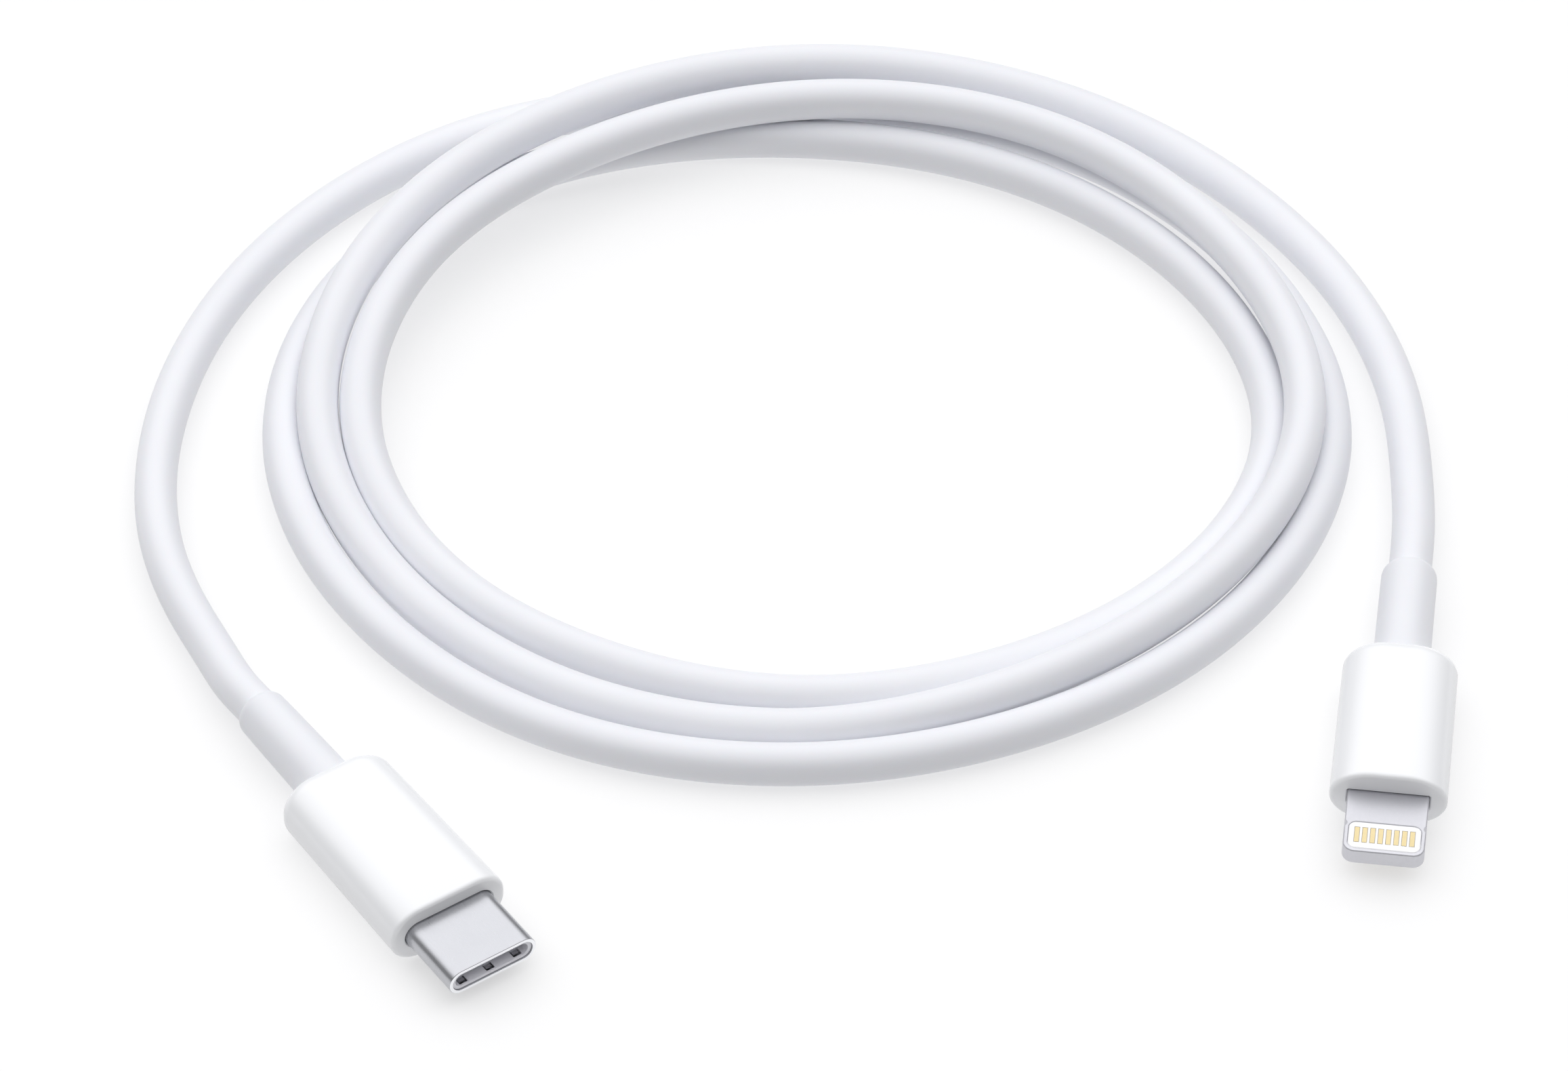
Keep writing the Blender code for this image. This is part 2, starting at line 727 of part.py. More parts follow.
def block_outline(x, face, positions):
    """Outline of one contact block: half of the oval, with a groove for each contact."""
    half_height = mouth_half_height()
    middle = mouth_half_width() - half_height
    floor = contact_level() - CONTACT_THICKNESS / 2 - FIT
    groove = CONTACT_WIDTH / 2 + FIT

    def height(y):
        over = max(abs(y) - middle, 0.0)
        return math.sqrt(half_height**2 - over**2)

    outermost = max(positions) * CONTACT_PITCH + groove + FIT
    start = math.asin((floor - BLOCK_WEB) / half_height)
    end = math.acos(max(outermost - middle, 0.0) / half_height)
    arc = [start + (end - start) * i / (ARC_POINTS - 1) for i in range(ARC_POINTS)]
    points = [(middle + half_height * math.cos(angle), half_height * math.sin(angle)) for angle in arc]
    for position in sorted(positions, reverse=True):
        y = position * CONTACT_PITCH
        points += [(y + groove, height(y + groove)), (y + groove, floor), (y - groove, floor),
                   (y - groove, height(y - groove))]
    points += [(-middle - half_height * math.cos(angle), half_height * math.sin(angle))
               for angle in reversed(arc)]
    return [Vector((x, y, face * z)) for y, z in points]


def make_contacts(parent):
    """The two rows of contacts, each strip in its own groove, and the blocks that hold them."""
    level = contact_level()
    block_front = -MOUTH_HIDDEN - 3 * FIT
    block_length = LATCH_PLATE_LENGTH + LATCH_PIVOT_BEHIND - MOUTH_HIDDEN
    tail = block_front - block_length - CONTACT_TAIL
    rows = (("upper", 1, UPPER_CONTACTS), ("lower", -1, LOWER_CONTACTS))
    for side, face, positions in rows:
        outline = block_outline(block_front, face, positions)
        mesh = prism(outline, Vector((-block_length, 0, 0)))
        add_object(f"oval_contact_block_{side}", mesh, contact_plastic(), parent)
        path = [
            (tail, face * level),
            (CONTACT_REACH - CONTACT_SLOPE[0], face * level),
            (CONTACT_REACH - CONTACT_SLOPE[1], face * (level - CONTACT_DIP)),
            (CONTACT_REACH - CONTACT_CREST, face * (level - CONTACT_DIP)),
            (CONTACT_REACH, face * (level + CONTACT_DIP / 2)),
        ]
        for number, position in enumerate(positions, start=1):
            strip = bent_strip(path, position * CONTACT_PITCH, CONTACT_WIDTH, CONTACT_THICKNESS)
            add_object(f"oval_contact_{side}_{number}", strip, gold_plate(), parent)


def make_oval_plug():
    """The oval plug, from its mouth to the end of its strain relief."""
    parent = add_empty("oval_plug", OVAL.x, OVAL.y, OVAL.height / 2, OVAL.heading)

    def hole(x):
        return oval_section(x, SHELL_WIDTH / 2 + FIT, SHELL_HEIGHT / 2 + FIT)

    make_shell(parent)
    make_insulator(parent)
    make_ground_springs(parent)
    make_latch(parent)
    make_contacts(parent)
    make_board(OVAL, parent)
    make_wires(OVAL, parent)
    make_shield(OVAL, parent)
    make_core(OVAL, parent, hole)
    make_boot(OVAL, parent, hole)
    make_relief(OVAL, parent)
    return parent


def blade_plan(z, front, back, half_width, corner):
    """One rounded rectangle seen from above at height z, from back to front."""
    middle = (front + back) / 2
    flat = turned_flat(section(z, half_width, (front - back) / 2, corner))
    return [point + Vector((middle, 0, 0)) for point in flat]


def insert_ends():
    """Front and back of the insert's opening in the ring."""
    front = BLADE_EXPOSED - INSERT_TIP_WALL
    return front, front - INSERT_LENGTH


def make_ring(parent):
    """The blade's metal ring: a rounded tongue with the insert's opening, a board channel and detents."""
    half_width = BLADE_WIDTH / 2
    half = BLADE_THICKNESS / 2
    edge = BLADE_EDGE
    inner = (BLADE_EXPOSED - edge, -BLADE_HIDDEN + edge, half_width - edge, BLADE_CORNER - edge)
    outer = (BLADE_EXPOSED, -BLADE_HIDDEN, half_width, BLADE_CORNER)
    loops = [
        blade_plan(-half, *inner),
        blade_plan(-half + edge, *outer),
        blade_plan(half - edge, *outer),
        blade_plan(half, *inner),
    ]
    ring = add_object("blade_ground_ring", skin(loops), nickel_plate(), parent)
    front, back = insert_ends()
    opening_half_width = half_width - INSERT_SIDE_WALL
    opening = blade_plan(-half - CUT, front, back, opening_half_width, INSERT_CORNER)
    cut(ring, "opening", prism(opening, Vector((0, 0, BLADE_THICKNESS + 2 * CUT))))
    channel_width = BLADE.board_width / 2 + 2 * FIT
    channel_height = BOARD_THICKNESS / 2 + FIT
    low = (-BLADE_HIDDEN - CUT, -channel_width, -channel_height)
    high = (back + INSERT_CORNER, channel_width, channel_height)
    cut(ring, "channel", block(low, high))
    for side, face in (("upper", 1), ("lower", -1)):
        depth = sorted((face * (half - SHOULDER), face * (half + CUT)))
        low = (-BLADE_HIDDEN - CUT, -BLADE_WIDTH, depth[0])
        high = (FIT, BLADE_WIDTH, depth[1])
        cut(ring, f"{side}_shoulder", block(low, high))
    for side, y in (("left", 1), ("right", -1)):
        middle = Vector((BLADE_EXPOSED - DETENT_BEHIND_TIP, 0, -half - CUT))
        middle.y = y * (half_width + DETENT_RADIUS - DETENT_DEPTH)
        notch = [middle + point for point in turned_flat(round_section(0, DETENT_RADIUS))]
        mesh = prism(notch, Vector((0, 0, BLADE_THICKNESS + 2 * CUT)))
        bmesh.ops.remove_doubles(mesh, verts=mesh.verts, dist=MERGE)
        cut(ring, f"{side}_detent", mesh)
    return ring


def pad_places():
    """The middle of each pad across the blade."""
    return [(i - (PAD_COUNT - 1) / 2) * PAD_PITCH for i in range(PAD_COUNT)]


def make_insert(parent):
    """The moulded insert, with a shallow pocket for each pad on both faces, and its gold pads."""
    half = BLADE_THICKNESS / 2
    front, back = insert_ends()
    half_width = BLADE_WIDTH / 2 - INSERT_SIDE_WALL - FIT
    corner = INSERT_CORNER - FIT
    plan = blade_plan(-half, front - FIT, back + FIT, half_width, corner)
    mesh = prism(plan, Vector((0, 0, BLADE_THICKNESS)))
    insert = add_object("blade_insert", mesh, insert_plastic(), parent)
    middle = BLADE_EXPOSED - PAD_BEHIND_TIP
    for side, face in (("upper", 1), ("lower", -1)):
        floor = face * (half - PAD_THICKNESS - FIT)
        depth = sorted((floor, face * (half + CUT)))
        level = sorted((floor + face * FIT, face * half))
        for number, y in enumerate(pad_places(), start=1):
            pocket_length = PAD_LENGTH / 2 + FIT
            pocket_width = PAD_WIDTH / 2 + FIT
            low = (middle - pocket_length, y - pocket_width, depth[0])
            high = (middle + pocket_length, y + pocket_width, depth[1])
            cut(insert, f"{side}_pocket_{number}", block(low, high))
            low = (middle - PAD_LENGTH / 2, y - PAD_WIDTH / 2, level[0])
            high = (middle + PAD_LENGTH / 2, y + PAD_WIDTH / 2, level[1])
            add_object(f"blade_pad_{side}_{number}", block(low, high), gold_plate(), parent)


def make_chip(parent):
    """The controller chip on top of the blade's board."""
    back = -BLADE_HIDDEN - CHIP_BEHIND_BLADE - CHIP_SIZE
    level = BOARD_THICKNESS / 2 + FIT
    low = (back, -CHIP_SIZE / 2, level)
    high = (back + CHIP_SIZE, CHIP_SIZE / 2, level + CHIP_THICKNESS)
    add_object("blade_controller_chip", block(low, high), chip_plastic(), parent)


def make_blade_plug():
    """The blade plug, from its tip to the end of its strain relief."""
    parent = add_empty("blade_plug", BLADE.x, BLADE.y, BLADE.height / 2, BLADE.heading)

    def hole(x):
        half_height = BLADE_THICKNESS / 2 + FIT
        return section(x, BLADE_WIDTH / 2 + FIT, half_height, BLADE_EDGE)

    make_ring(parent)
    make_insert(parent)
    make_board(BLADE, parent)
    make_chip(parent)
    make_wires(BLADE, parent)
    make_shield(BLADE, parent)
    make_core(BLADE, parent, hole)
    make_boot(BLADE, parent, hole)
    make_relief(BLADE, parent)
    return parent


def behind(grip, distance):
    """The point of the plug's axis this far behind its front face."""
    return (
        grip.x - distance * math.cos(grip.heading),
        grip.y - distance * math.sin(grip.heading),
    )


def lifted(lift):
    """Height of the cord's middle where it is raised by this many diameters."""
    return CORD_DIAMETER * (0.5 + lift)


def exit_points(grip):
    """The cord's first two points behind a plug: it leaves straight along the plug's axis."""
    points = []
    height = grip.height / 2
    for distance, drop in ((CORD_GAP, 0.0), (CORD_GAP + EXIT_RUN * CORD_DIAMETER, EXIT_DROP)):
        points.append((*behind(grip, grip.cord_end + distance), height - drop * (height - lifted(0))))
    return points


def route_points():
    """The points that the cord passes through, from the oval plug to the blade plug."""
    points = exit_points(OVAL)
    points += [(x * MM, y * MM, lifted(lift)) for x, y, lift in OVAL_LEAD]
    turns = OUTER_TURN + LOWER_TURN + UPPER_TURN + LAST_TURN
    for i, (radius, lift) in enumerate(turns):
        angle = math.radians(90 - 30 * (FIRST_HOUR + i))
        x = COIL_MIDDLE[0] + radius * MM * math.cos(angle)
        y = COIL_MIDDLE[1] + radius * MM * math.sin(angle)
        points.append((x, y, lifted(lift)))
    points += [(x * MM, y * MM, lifted(lift)) for x, y, lift in BLADE_LEAD]
    points += reversed(exit_points(BLADE))
    return np.array(points)


def smooth_route(points, count):
    """Evenly spaced points on a natural cubic spline through the route, held up by the surface."""
    spacing = np.linalg.norm(np.diff(points, axis=0), axis=1)
    along = np.concatenate(([0.0], np.cumsum(spacing)))
    rows = len(points)
    matrix = np.eye(rows)
    right = np.zeros((rows, 3))
    for i in range(1, rows - 1):
        matrix[i, i - 1] = spacing[i - 1]
        matrix[i, i] = 2 * (spacing[i - 1] + spacing[i])
        matrix[i, i + 1] = spacing[i]
        ahead = (points[i + 1] - points[i]) / spacing[i]
        astern = (points[i] - points[i - 1]) / spacing[i - 1]
        right[i] = 6 * (ahead - astern)
    bend = np.linalg.solve(matrix, right)
    fine = np.linspace(0, along[-1], 20 * rows)
    piece = np.clip(np.searchsorted(along, fine, side="right") - 1, 0, rows - 2)
    h = spacing[piece][:, None]
    ahead = (along[piece + 1] - fine)[:, None]
    done = (fine - along[piece])[:, None]
    curve = (
        bend[piece] * ahead**3 / (6 * h)
        + bend[piece + 1] * done**3 / (6 * h)
        + (points[piece] / h - bend[piece] * h / 6) * ahead
        + (points[piece + 1] / h - bend[piece + 1] * h / 6) * done
    )
    length = np.concatenate(([0.0], np.cumsum(np.linalg.norm(np.diff(curve, axis=0), axis=1))))
    curve[:, 2] = np.maximum(curve[:, 2], lifted(0))
    even = np.linspace(0, length[-1], count)
    return np.stack([np.interp(even, length, curve[:, axis]) for axis in range(3)], axis=1)


def make_cord():
    """The cord: one plain round tube from relief to relief."""
    route = route_points()
    even = smooth_route(route, CORD_POINTS)
    path = [route[0], route[1], *even[1:-1], route[-2], route[-1]]
    return add_tube("cord", path, CORD_DIAMETER, CORD_BEVEL_RESOLUTION, cord_jacket())


def main():
    """Clears the scene and builds both plugs and the cord."""
    for old in list(bpy.data.objects):
        bpy.data.objects.remove(old, do_unlink=True)
    make_oval_plug()
    make_blade_plug()
    make_cord()


main()
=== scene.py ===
"""Looks of the charging cable: its cord, hard grips, soft reliefs, metal shell and gold-padded blade.

Units are metres and +Z is up. Each plug is modelled in its own frame, with its origin at the middle of its
grip's front face and +X the way it is pushed in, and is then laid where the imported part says.
"""

import json
import logging
import math
from dataclasses import dataclass, field
from enum import Enum

import bmesh
import bpy
import numpy as np
from mathutils import Matrix, Vector


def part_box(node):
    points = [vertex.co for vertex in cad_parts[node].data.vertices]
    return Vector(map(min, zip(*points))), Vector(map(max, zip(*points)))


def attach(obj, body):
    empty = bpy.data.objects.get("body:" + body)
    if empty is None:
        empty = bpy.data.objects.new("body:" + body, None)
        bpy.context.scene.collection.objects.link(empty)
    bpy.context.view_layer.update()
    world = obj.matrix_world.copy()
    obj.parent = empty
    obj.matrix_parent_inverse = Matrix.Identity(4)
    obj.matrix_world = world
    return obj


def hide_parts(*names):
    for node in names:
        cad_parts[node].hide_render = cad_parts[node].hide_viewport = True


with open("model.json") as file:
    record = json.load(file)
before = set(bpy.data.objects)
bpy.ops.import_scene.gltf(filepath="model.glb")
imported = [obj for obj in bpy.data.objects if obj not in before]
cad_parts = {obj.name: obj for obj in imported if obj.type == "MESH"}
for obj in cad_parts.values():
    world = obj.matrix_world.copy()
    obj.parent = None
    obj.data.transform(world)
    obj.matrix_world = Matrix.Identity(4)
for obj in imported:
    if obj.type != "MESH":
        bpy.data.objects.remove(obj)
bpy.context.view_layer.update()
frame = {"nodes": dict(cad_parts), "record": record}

MM = 0.001
BODY = "cable"

# Modelling: how near points merge, the points in a quarter turn of a section, how far a cutter reaches past
# what it cuts, and the steps of its rounded edges.
MERGE = 0.0001 * MM
ARC_POINTS = 17
CUT_PAST = 1.0 * MM
CUTTER_BEVEL_STEPS = 4

# The angle from which an edge stays sharp when a piece is shaded smooth, in degrees, and the wider angle of
# the grips and reliefs.
SHARP_EDGE = 32.0
SHARP_EDGE_ROUND = 40.0

# The hole in a grip's front face: its gap to the plug's metal, and the width of its rounded-off edge.
HOLE_GAP = 0.03 * MM
HOLE_EDGE = 0.12 * MM

# How a finish is drawn: how much longer than wide a drawn metal's grain is, the detail of the two tones, the
# part of the grain's range that the roughness follows, the bump's strength, and how deep light goes in.
DRAWN_STRETCH = 12.0
TONE_DETAIL = 3.0
GRAIN_RANGE = (0.3, 0.7)
BUMP_STRENGTH = 0.35
SOFT_LIGHT_DEPTH = 0.6 * MM

Outline = list[tuple[float, float]]

log = logging.getLogger("cable")


# ---------------------------------------------------------------------------------------------- materials


def linear(code: str) -> tuple[float, float, float, float]:
    """An sRGB hex colour as linear light.

    Args:
        code: six hex digits, such as "EDEEF2".

    Returns:
        Red, green, blue and an alpha of 1.
    """
    values = []
    for i in (0, 2, 4):
        value = int(code[i:i + 2], 16) / 255
        values.append(value / 12.92 if value <= 0.04045 else ((value + 0.055) / 1.055) ** 2.4)
    return (*values, 1.0)


def add_node(tree: bpy.types.NodeTree, kind: str, settings: dict | None = None,
             links: dict | None = None, **attributes: object) -> bpy.types.Node:
    """Adds one node to a tree.

    Args:
        tree: the material's or world's node tree.
        kind: the node's class name.
        settings: values for its input sockets, by name or index.
        links: output sockets to connect, by the name or index of the input.
        attributes: the node's own settings.

    Returns:
        The new node.
    """
    node = tree.nodes.new(kind)
    for name, value in attributes.items():
        setattr(node, name, value)
    for socket, value in (settings or {}).items():
        node.inputs[socket].default_value = value
    for socket, output in (links or {}).items():
        tree.links.new(output, node.inputs[socket])
    return node


class Grain(Enum):
    """The shape of a surface's fine grain."""

    EVEN = "even, as on moulded, plated and faced surfaces"
    DRAWN = "drawn out along the plug, as on drawn and rolled metal"


@dataclass(frozen=True)
class Finish:
    """One real finish, as a node material.

    The colour wanders slightly between two tones over a few millimetres, and a fine grain gives bump and
    roughness. A drawn metal's grain is stretched along the plug.
    """

    name: str
    light: str
    dark: str
    roughness: float
    grain: Grain
    grain_mm: float
    bump_mm: float
    tone_mm: float = 6.0
    metallic: float = 0.0
    ior: float = 1.5
    coat: float = 0.0
    coat_roughness: float = 0.1
    subsurface: float = 0.0
    roughness_swing: float = 0.06
    detail: float = 4.0
    turn: float = 0.0

    def build(self) -> bpy.types.Material:
        """Makes the material, or returns the one already made.

        Returns:
            The finish's material.
        """
        made = bpy.data.materials.get(self.name)
        if made:
            return made
        made = bpy.data.materials.new(self.name)
        made.use_nodes = True
        tree = made.node_tree
        tree.nodes.clear()
        place = add_node(tree, "ShaderNodeTexCoord")
        stretch = (1.0, DRAWN_STRETCH, DRAWN_STRETCH) if self.grain is Grain.DRAWN else (1.0, 1.0, 1.0)
        turned = add_node(tree, "ShaderNodeMapping", {"Rotation": (0.0, 0.0, -self.turn)},
                          {"Vector": place.outputs["Object"]})
        mapping = add_node(tree, "ShaderNodeMapping", {"Scale": stretch},
                           {"Vector": turned.outputs["Vector"]})
        tone = add_node(tree, "ShaderNodeTexNoise",
                        {"Scale": 1 / (self.tone_mm * MM), "Detail": TONE_DETAIL},
                        {"Vector": place.outputs["Object"]})
        grain = add_node(tree, "ShaderNodeTexNoise",
                         {"Scale": 1 / (self.grain_mm * MM), "Detail": self.detail},
                         {"Vector": mapping.outputs["Vector"]})
        colour = add_node(tree, "ShaderNodeMix",
                          links={"Factor": tone.outputs["Fac"]}, data_type="RGBA")
        colour.inputs["A"].default_value = linear(self.dark)
        colour.inputs["B"].default_value = linear(self.light)
        rough = add_node(tree, "ShaderNodeMapRange", {
            "From Min": GRAIN_RANGE[0], "From Max": GRAIN_RANGE[1],
            "To Min": self.roughness - self.roughness_swing,
            "To Max": self.roughness + self.roughness_swing}, {"Value": grain.outputs["Fac"]})
        bump = add_node(tree, "ShaderNodeBump",
                        {"Strength": BUMP_STRENGTH, "Distance": self.bump_mm * MM},
                        {"Height": grain.outputs["Fac"]})
        shader = add_node(tree, "ShaderNodeBsdfPrincipled", {
            "Metallic": self.metallic, "Coat Weight": self.coat,
            "Coat Roughness": self.coat_roughness, "Subsurface Weight": self.subsurface,
            "Subsurface Scale": SOFT_LIGHT_DEPTH},
            {"Base Color": colour.outputs["Result"], "Roughness": rough.outputs["Result"],
             "Normal": bump.outputs["Normal"]})
        if self.metallic < 0.5:
            shader.inputs["IOR"].default_value = self.ior
        add_node(tree, "ShaderNodeOutputMaterial", links={"Surface": shader.outputs["BSDF"]})
        return made


def dress(piece: bpy.types.Object, finish: Finish) -> None:
    """Gives a piece or a CAD node one finish all over.

    Args:
        piece: the piece or node.
        finish: its finish.
    """
    piece.data.materials.clear()
    piece.data.materials.append(finish.build())


# TPE elastomer, extruded: satin and a little blue, so its highlight is broad and soft.
JACKET = Finish("extruded_elastomer", "F0F1F5", "EAEBF0", 0.42, Grain.EVEN, 0.35, 0.004,
                tone_mm=14.0, ior=1.48, subsurface=0.05)
# TPE elastomer, injection moulded round the cord: the same, with a faint spark-eroded grain.
RELIEF = Finish("moulded_elastomer", "EFF0F4", "E9EAEF", 0.4, Grain.EVEN, 0.25, 0.004,
                tone_mm=9.0, ior=1.48, subsurface=0.05)
# Polycarbonate blend, gloss moulded: very white, with a soft highlight and a faint long ripple.
GRIP = Finish("gloss_polycarbonate", "F7F8FA", "F4F5F7", 0.25, Grain.EVEN, 3.0, 0.004,
              tone_mm=12.0, ior=1.58, coat=0.2, coat_roughness=0.15, roughness_swing=0.02, detail=1.0)
# Stainless steel of the rim's flat front with a painted highlight: a brighter copy of the shell's steel, so
# the front reads as a bright ring; being smooth, it also mirrors the surface below.
RIM_WITH_PAINTED_HIGHLIGHT = Finish("stainless_steel_with_painted_highlight", "F4F5F8", "F0F1F4", 0.16, Grain.EVEN, 0.15, 0.0004,
                   tone_mm=2.0, metallic=1.0, roughness_swing=0.03)
# Heat resistant liquid crystal polymer, natural pale grey: dull, since its fibres show at the skin.
LINER = Finish("grey_crystal_polymer", "F2F2F7", "ECECF2", 0.45, Grain.EVEN, 0.2, 0.004, tone_mm=2.0)
# Glass filled polyamide, white: the moulded insert, smooth with a soft gloss.
INSERT = Finish("white_glass_filled_polyamide", "FBFBFC", "F6F6F8", 0.3, Grain.EVEN, 0.3, 0.002,
                tone_mm=3.0)
# Polyethylene inner mould: waxy and plain, never on show.
CORE = Finish("natural_polyethylene", "DDDCD6", "D2D1CA", 0.55, Grain.EVEN, 0.5, 0.01)
# Solder mask on glass epoxy: green with a thin gloss.
BOARD = Finish("green_solder_mask", "1F7A45", "145C33", 0.35, Grain.EVEN, 0.3, 0.004, tone_mm=1.2)
# Epoxy moulding compound: the chip's black body.
CHIP = Finish("black_moulding_compound", "1C1C1E", "121213", 0.55, Grain.EVEN, 0.1, 0.006, tone_mm=0.8)


@dataclass(frozen=True)
class Wire:
    """One insulated wire's colour, as PVC insulation with a low gloss."""

    colour: str
    light: str
    dark: str

    def finish(self) -> Finish:
        """The wire's finish, as softly glossy insulation.

        Returns:
            The finish.
        """
        return Finish(f"{self.colour}_pvc_insulation", self.light, self.dark, 0.4, Grain.EVEN, 0.3, 0.003)


WIRES = (Wire("red", "C8241E", "A81A15"), Wire("black", "202022", "141416"),
         Wire("green", "1E8A3C", "166B2E"), Wire("white", "F0F0EE", "E4E4E1"))


# --------------------------------------------------------------------------------------- modelling tools


def deselect() -> None:
    """Leaves object mode with nothing selected."""
    if bpy.context.mode != "OBJECT":
        bpy.ops.object.mode_set(mode="OBJECT")
    bpy.ops.object.select_all(action="DESELECT")


def work_on(piece: bpy.types.Object) -> None:
    """Selects one piece and makes it active.

    Args:
        piece: the piece to work on.
    """
    deselect()
    piece.select_set(True)
    bpy.context.view_layer.objects.active = piece


def section(half_width: float, half_height: float, radius: float, soft: float = 0.0) -> Outline:
    """Points round a rounded rectangle, drawn towards an ellipse.

    Args:
        half_width: half its size across.
        half_height: half its size upwards.
        radius: its corner radius.
        soft: how far it goes from the rounded rectangle, 0, towards the ellipse, 1.

    Returns:
        Pairs of across and up, anticlockwise.
    """
    points = []
    for side, rise, start in ((1, -1, -90), (1, 1, 0), (-1, 1, 90), (-1, -1, 180)):
        for step in range(ARC_POINTS):
            angle = math.radians(start + 90 * step / (ARC_POINTS - 1))
            flat_across = side * (half_width - radius) + radius * math.cos(angle)
            flat_up = rise * (half_height - radius) + radius * math.sin(angle)
            across = flat_across + soft * (half_width * math.cos(angle) - flat_across)
            up = flat_up + soft * (half_height * math.sin(angle) - flat_up)
            points.append((across, up))
    return points


def circle(radius: float) -> Outline:
    """Points round a circle, in step with those of a section.

    Args:
        radius: its radius.

    Returns:
        Pairs of across and up, anticlockwise.
    """
    return section(radius, radius, radius)


def oval(half_width: float, half_height: float) -> Outline:
    """Points round an oval whose ends are half circles.

    Args:
        half_width: half its size across.
        half_height: half its size upwards.

    Returns:
        Pairs of across and up, anticlockwise.
    """
    return section(half_width, half_height, half_height)


class Lathe:
    """Builds a closed skin loop by loop in edit mode, as with repeated extrude, place and scale."""

    def __init__(self, name: str, first: list[Vector]) -> None:
        """Starts from a primitive circle whose points go to the first loop's places.

        Args:
            name: the piece's name.
            first: the first loop's points.
        """
        deselect()
        bpy.ops.mesh.primitive_circle_add(vertices=len(first), radius=1.0, fill_type="NOTHING")
        self.piece = bpy.context.active_object
        self.piece.name = name
        self.piece.data.name = name
        bpy.ops.object.mode_set(mode="EDIT")
        self.mesh = bmesh.from_edit_mesh(self.piece.data)
        self.mesh.verts.ensure_lookup_table()
        self.count = len(first)
        self.place(0, first)

    def place(self, start: int, loop: list[Vector]) -> None:
        """Moves the loop of vertices that starts at this index to its places.

        Args:
            start: the index of its first vertex.
            loop: the places.
        """
        self.mesh.verts.ensure_lookup_table()
        for vertex, point in zip(self.mesh.verts[start:start + self.count], loop):
            vertex.co = point
        bmesh.update_edit_mesh(self.piece.data)

    def extend(self, loop: list[Vector]) -> None:
        """Extrudes the open end and moves it to the next loop.

        Args:
            loop: the next loop's points.
        """
        bpy.ops.mesh.extrude_region_move()
        self.mesh = bmesh.from_edit_mesh(self.piece.data)
        self.mesh.verts.ensure_lookup_table()
        self.place(len(self.mesh.verts) - self.count, loop)

    def finish(self, is_ring: bool) -> bpy.types.Object:
        """Closes the skin, merges doubled points and faces it outwards.

        Args:
            is_ring: joins the last loop to the first; otherwise both ends are capped.

        Returns:
            The piece, in object mode.
        """
        verts = self.mesh.verts
        verts.ensure_lookup_table()
        for vertex in verts:
            vertex.select = False
        first, last = verts[:self.count], verts[len(verts) - self.count:]
        for loop in (first, last):
            for i, vertex in enumerate(loop):
                edge = self.mesh.edges.get((vertex, loop[(i + 1) % self.count]))
                edge.select = True
        bmesh.update_edit_mesh(self.piece.data)
        if is_ring:
            bpy.ops.mesh.bridge_edge_loops()
        else:
            bpy.ops.mesh.edge_face_add()
        bpy.ops.mesh.select_all(action="SELECT")
        bpy.ops.mesh.remove_doubles(threshold=MERGE)
        bpy.ops.mesh.normals_make_consistent(inside=False)
        deselect()
        return self.piece


def skin(name: str, loops: list[list[Vector]], is_ring: bool = False) -> bpy.types.Object:
    """A closed piece through these loops.

    Args:
        name: the piece's name.
        loops: loops of equally many points.
        is_ring: whether the last loop joins the first.

    Returns:
        The piece.
    """
    lathe = Lathe(name, loops[0])
    for loop in loops[1:]:
        lathe.extend(loop)
    return lathe.finish(is_ring)


def across(x: float, points: Outline) -> list[Vector]:
    """A section stood across the plug.

    Args:
        x: where it stands along the plug.
        points: the section.

    Returns:
        The loop.
    """
    return [Vector((x, y, z)) for y, z in points]


def flat(z: float, middle: float, points: Outline) -> list[Vector]:
    """A section laid flat: its width stays across and its height runs along the plug.

    Args:
        z: its height.
        middle: where its middle is along the plug.
        points: the section.

    Returns:
        The loop.
    """
    return [Vector((middle + along, y, z)) for y, along in points]


def cutter_box(low: Vector, high: Vector, radius: float = 0.0) -> bpy.types.Object:
    """A box between two corners, its upright edges rounded, to cut with.

    Args:
        low: its lowest corner.
        high: its highest corner.
        radius: the radius of its upright edges.

    Returns:
        The box.
    """
    deselect()
    bpy.ops.mesh.primitive_cube_add(size=1.0, location=(low + high) / 2, scale=high - low)
    box = bpy.context.active_object
    bpy.ops.object.transform_apply(location=True, rotation=False, scale=True)
    if radius:
        bpy.ops.object.mode_set(mode="EDIT")
        mesh = bmesh.from_edit_mesh(box.data)
        for edge in mesh.edges:
            run = edge.verts[0].co - edge.verts[1].co
            edge.select = abs(run.z) > MERGE
        bmesh.update_edit_mesh(box.data)
        bpy.ops.mesh.bevel(offset=radius, segments=CUTTER_BEVEL_STEPS)
        bpy.ops.object.mode_set(mode="OBJECT")
    return box


def cut(piece: bpy.types.Object, cutter: bpy.types.Object) -> None:
    """Cuts one shape out of the piece and removes the cutter.

    Args:
        piece: the piece to cut.
        cutter: the closed shape to cut out of it.
    """
    modifier = piece.modifiers.new("cut", "BOOLEAN")
    modifier.operation = "DIFFERENCE"
    modifier.solver = "EXACT"
    modifier.object = cutter
    work_on(piece)
    bpy.ops.object.modifier_apply(modifier="cut")
    bpy.data.objects.remove(cutter, do_unlink=True)


def smooth(piece: bpy.types.Object, degrees: float = SHARP_EDGE) -> None:
    """Shades a piece smooth, except over its sharp edges.

    Args:
        piece: the piece.
        degrees: the angle from which an edge stays sharp.
    """
    work_on(piece)
    bpy.ops.object.shade_smooth_by_angle(angle=math.radians(degrees))
    deselect()


# -------------------------------------------------------------------------------------------------- plugs


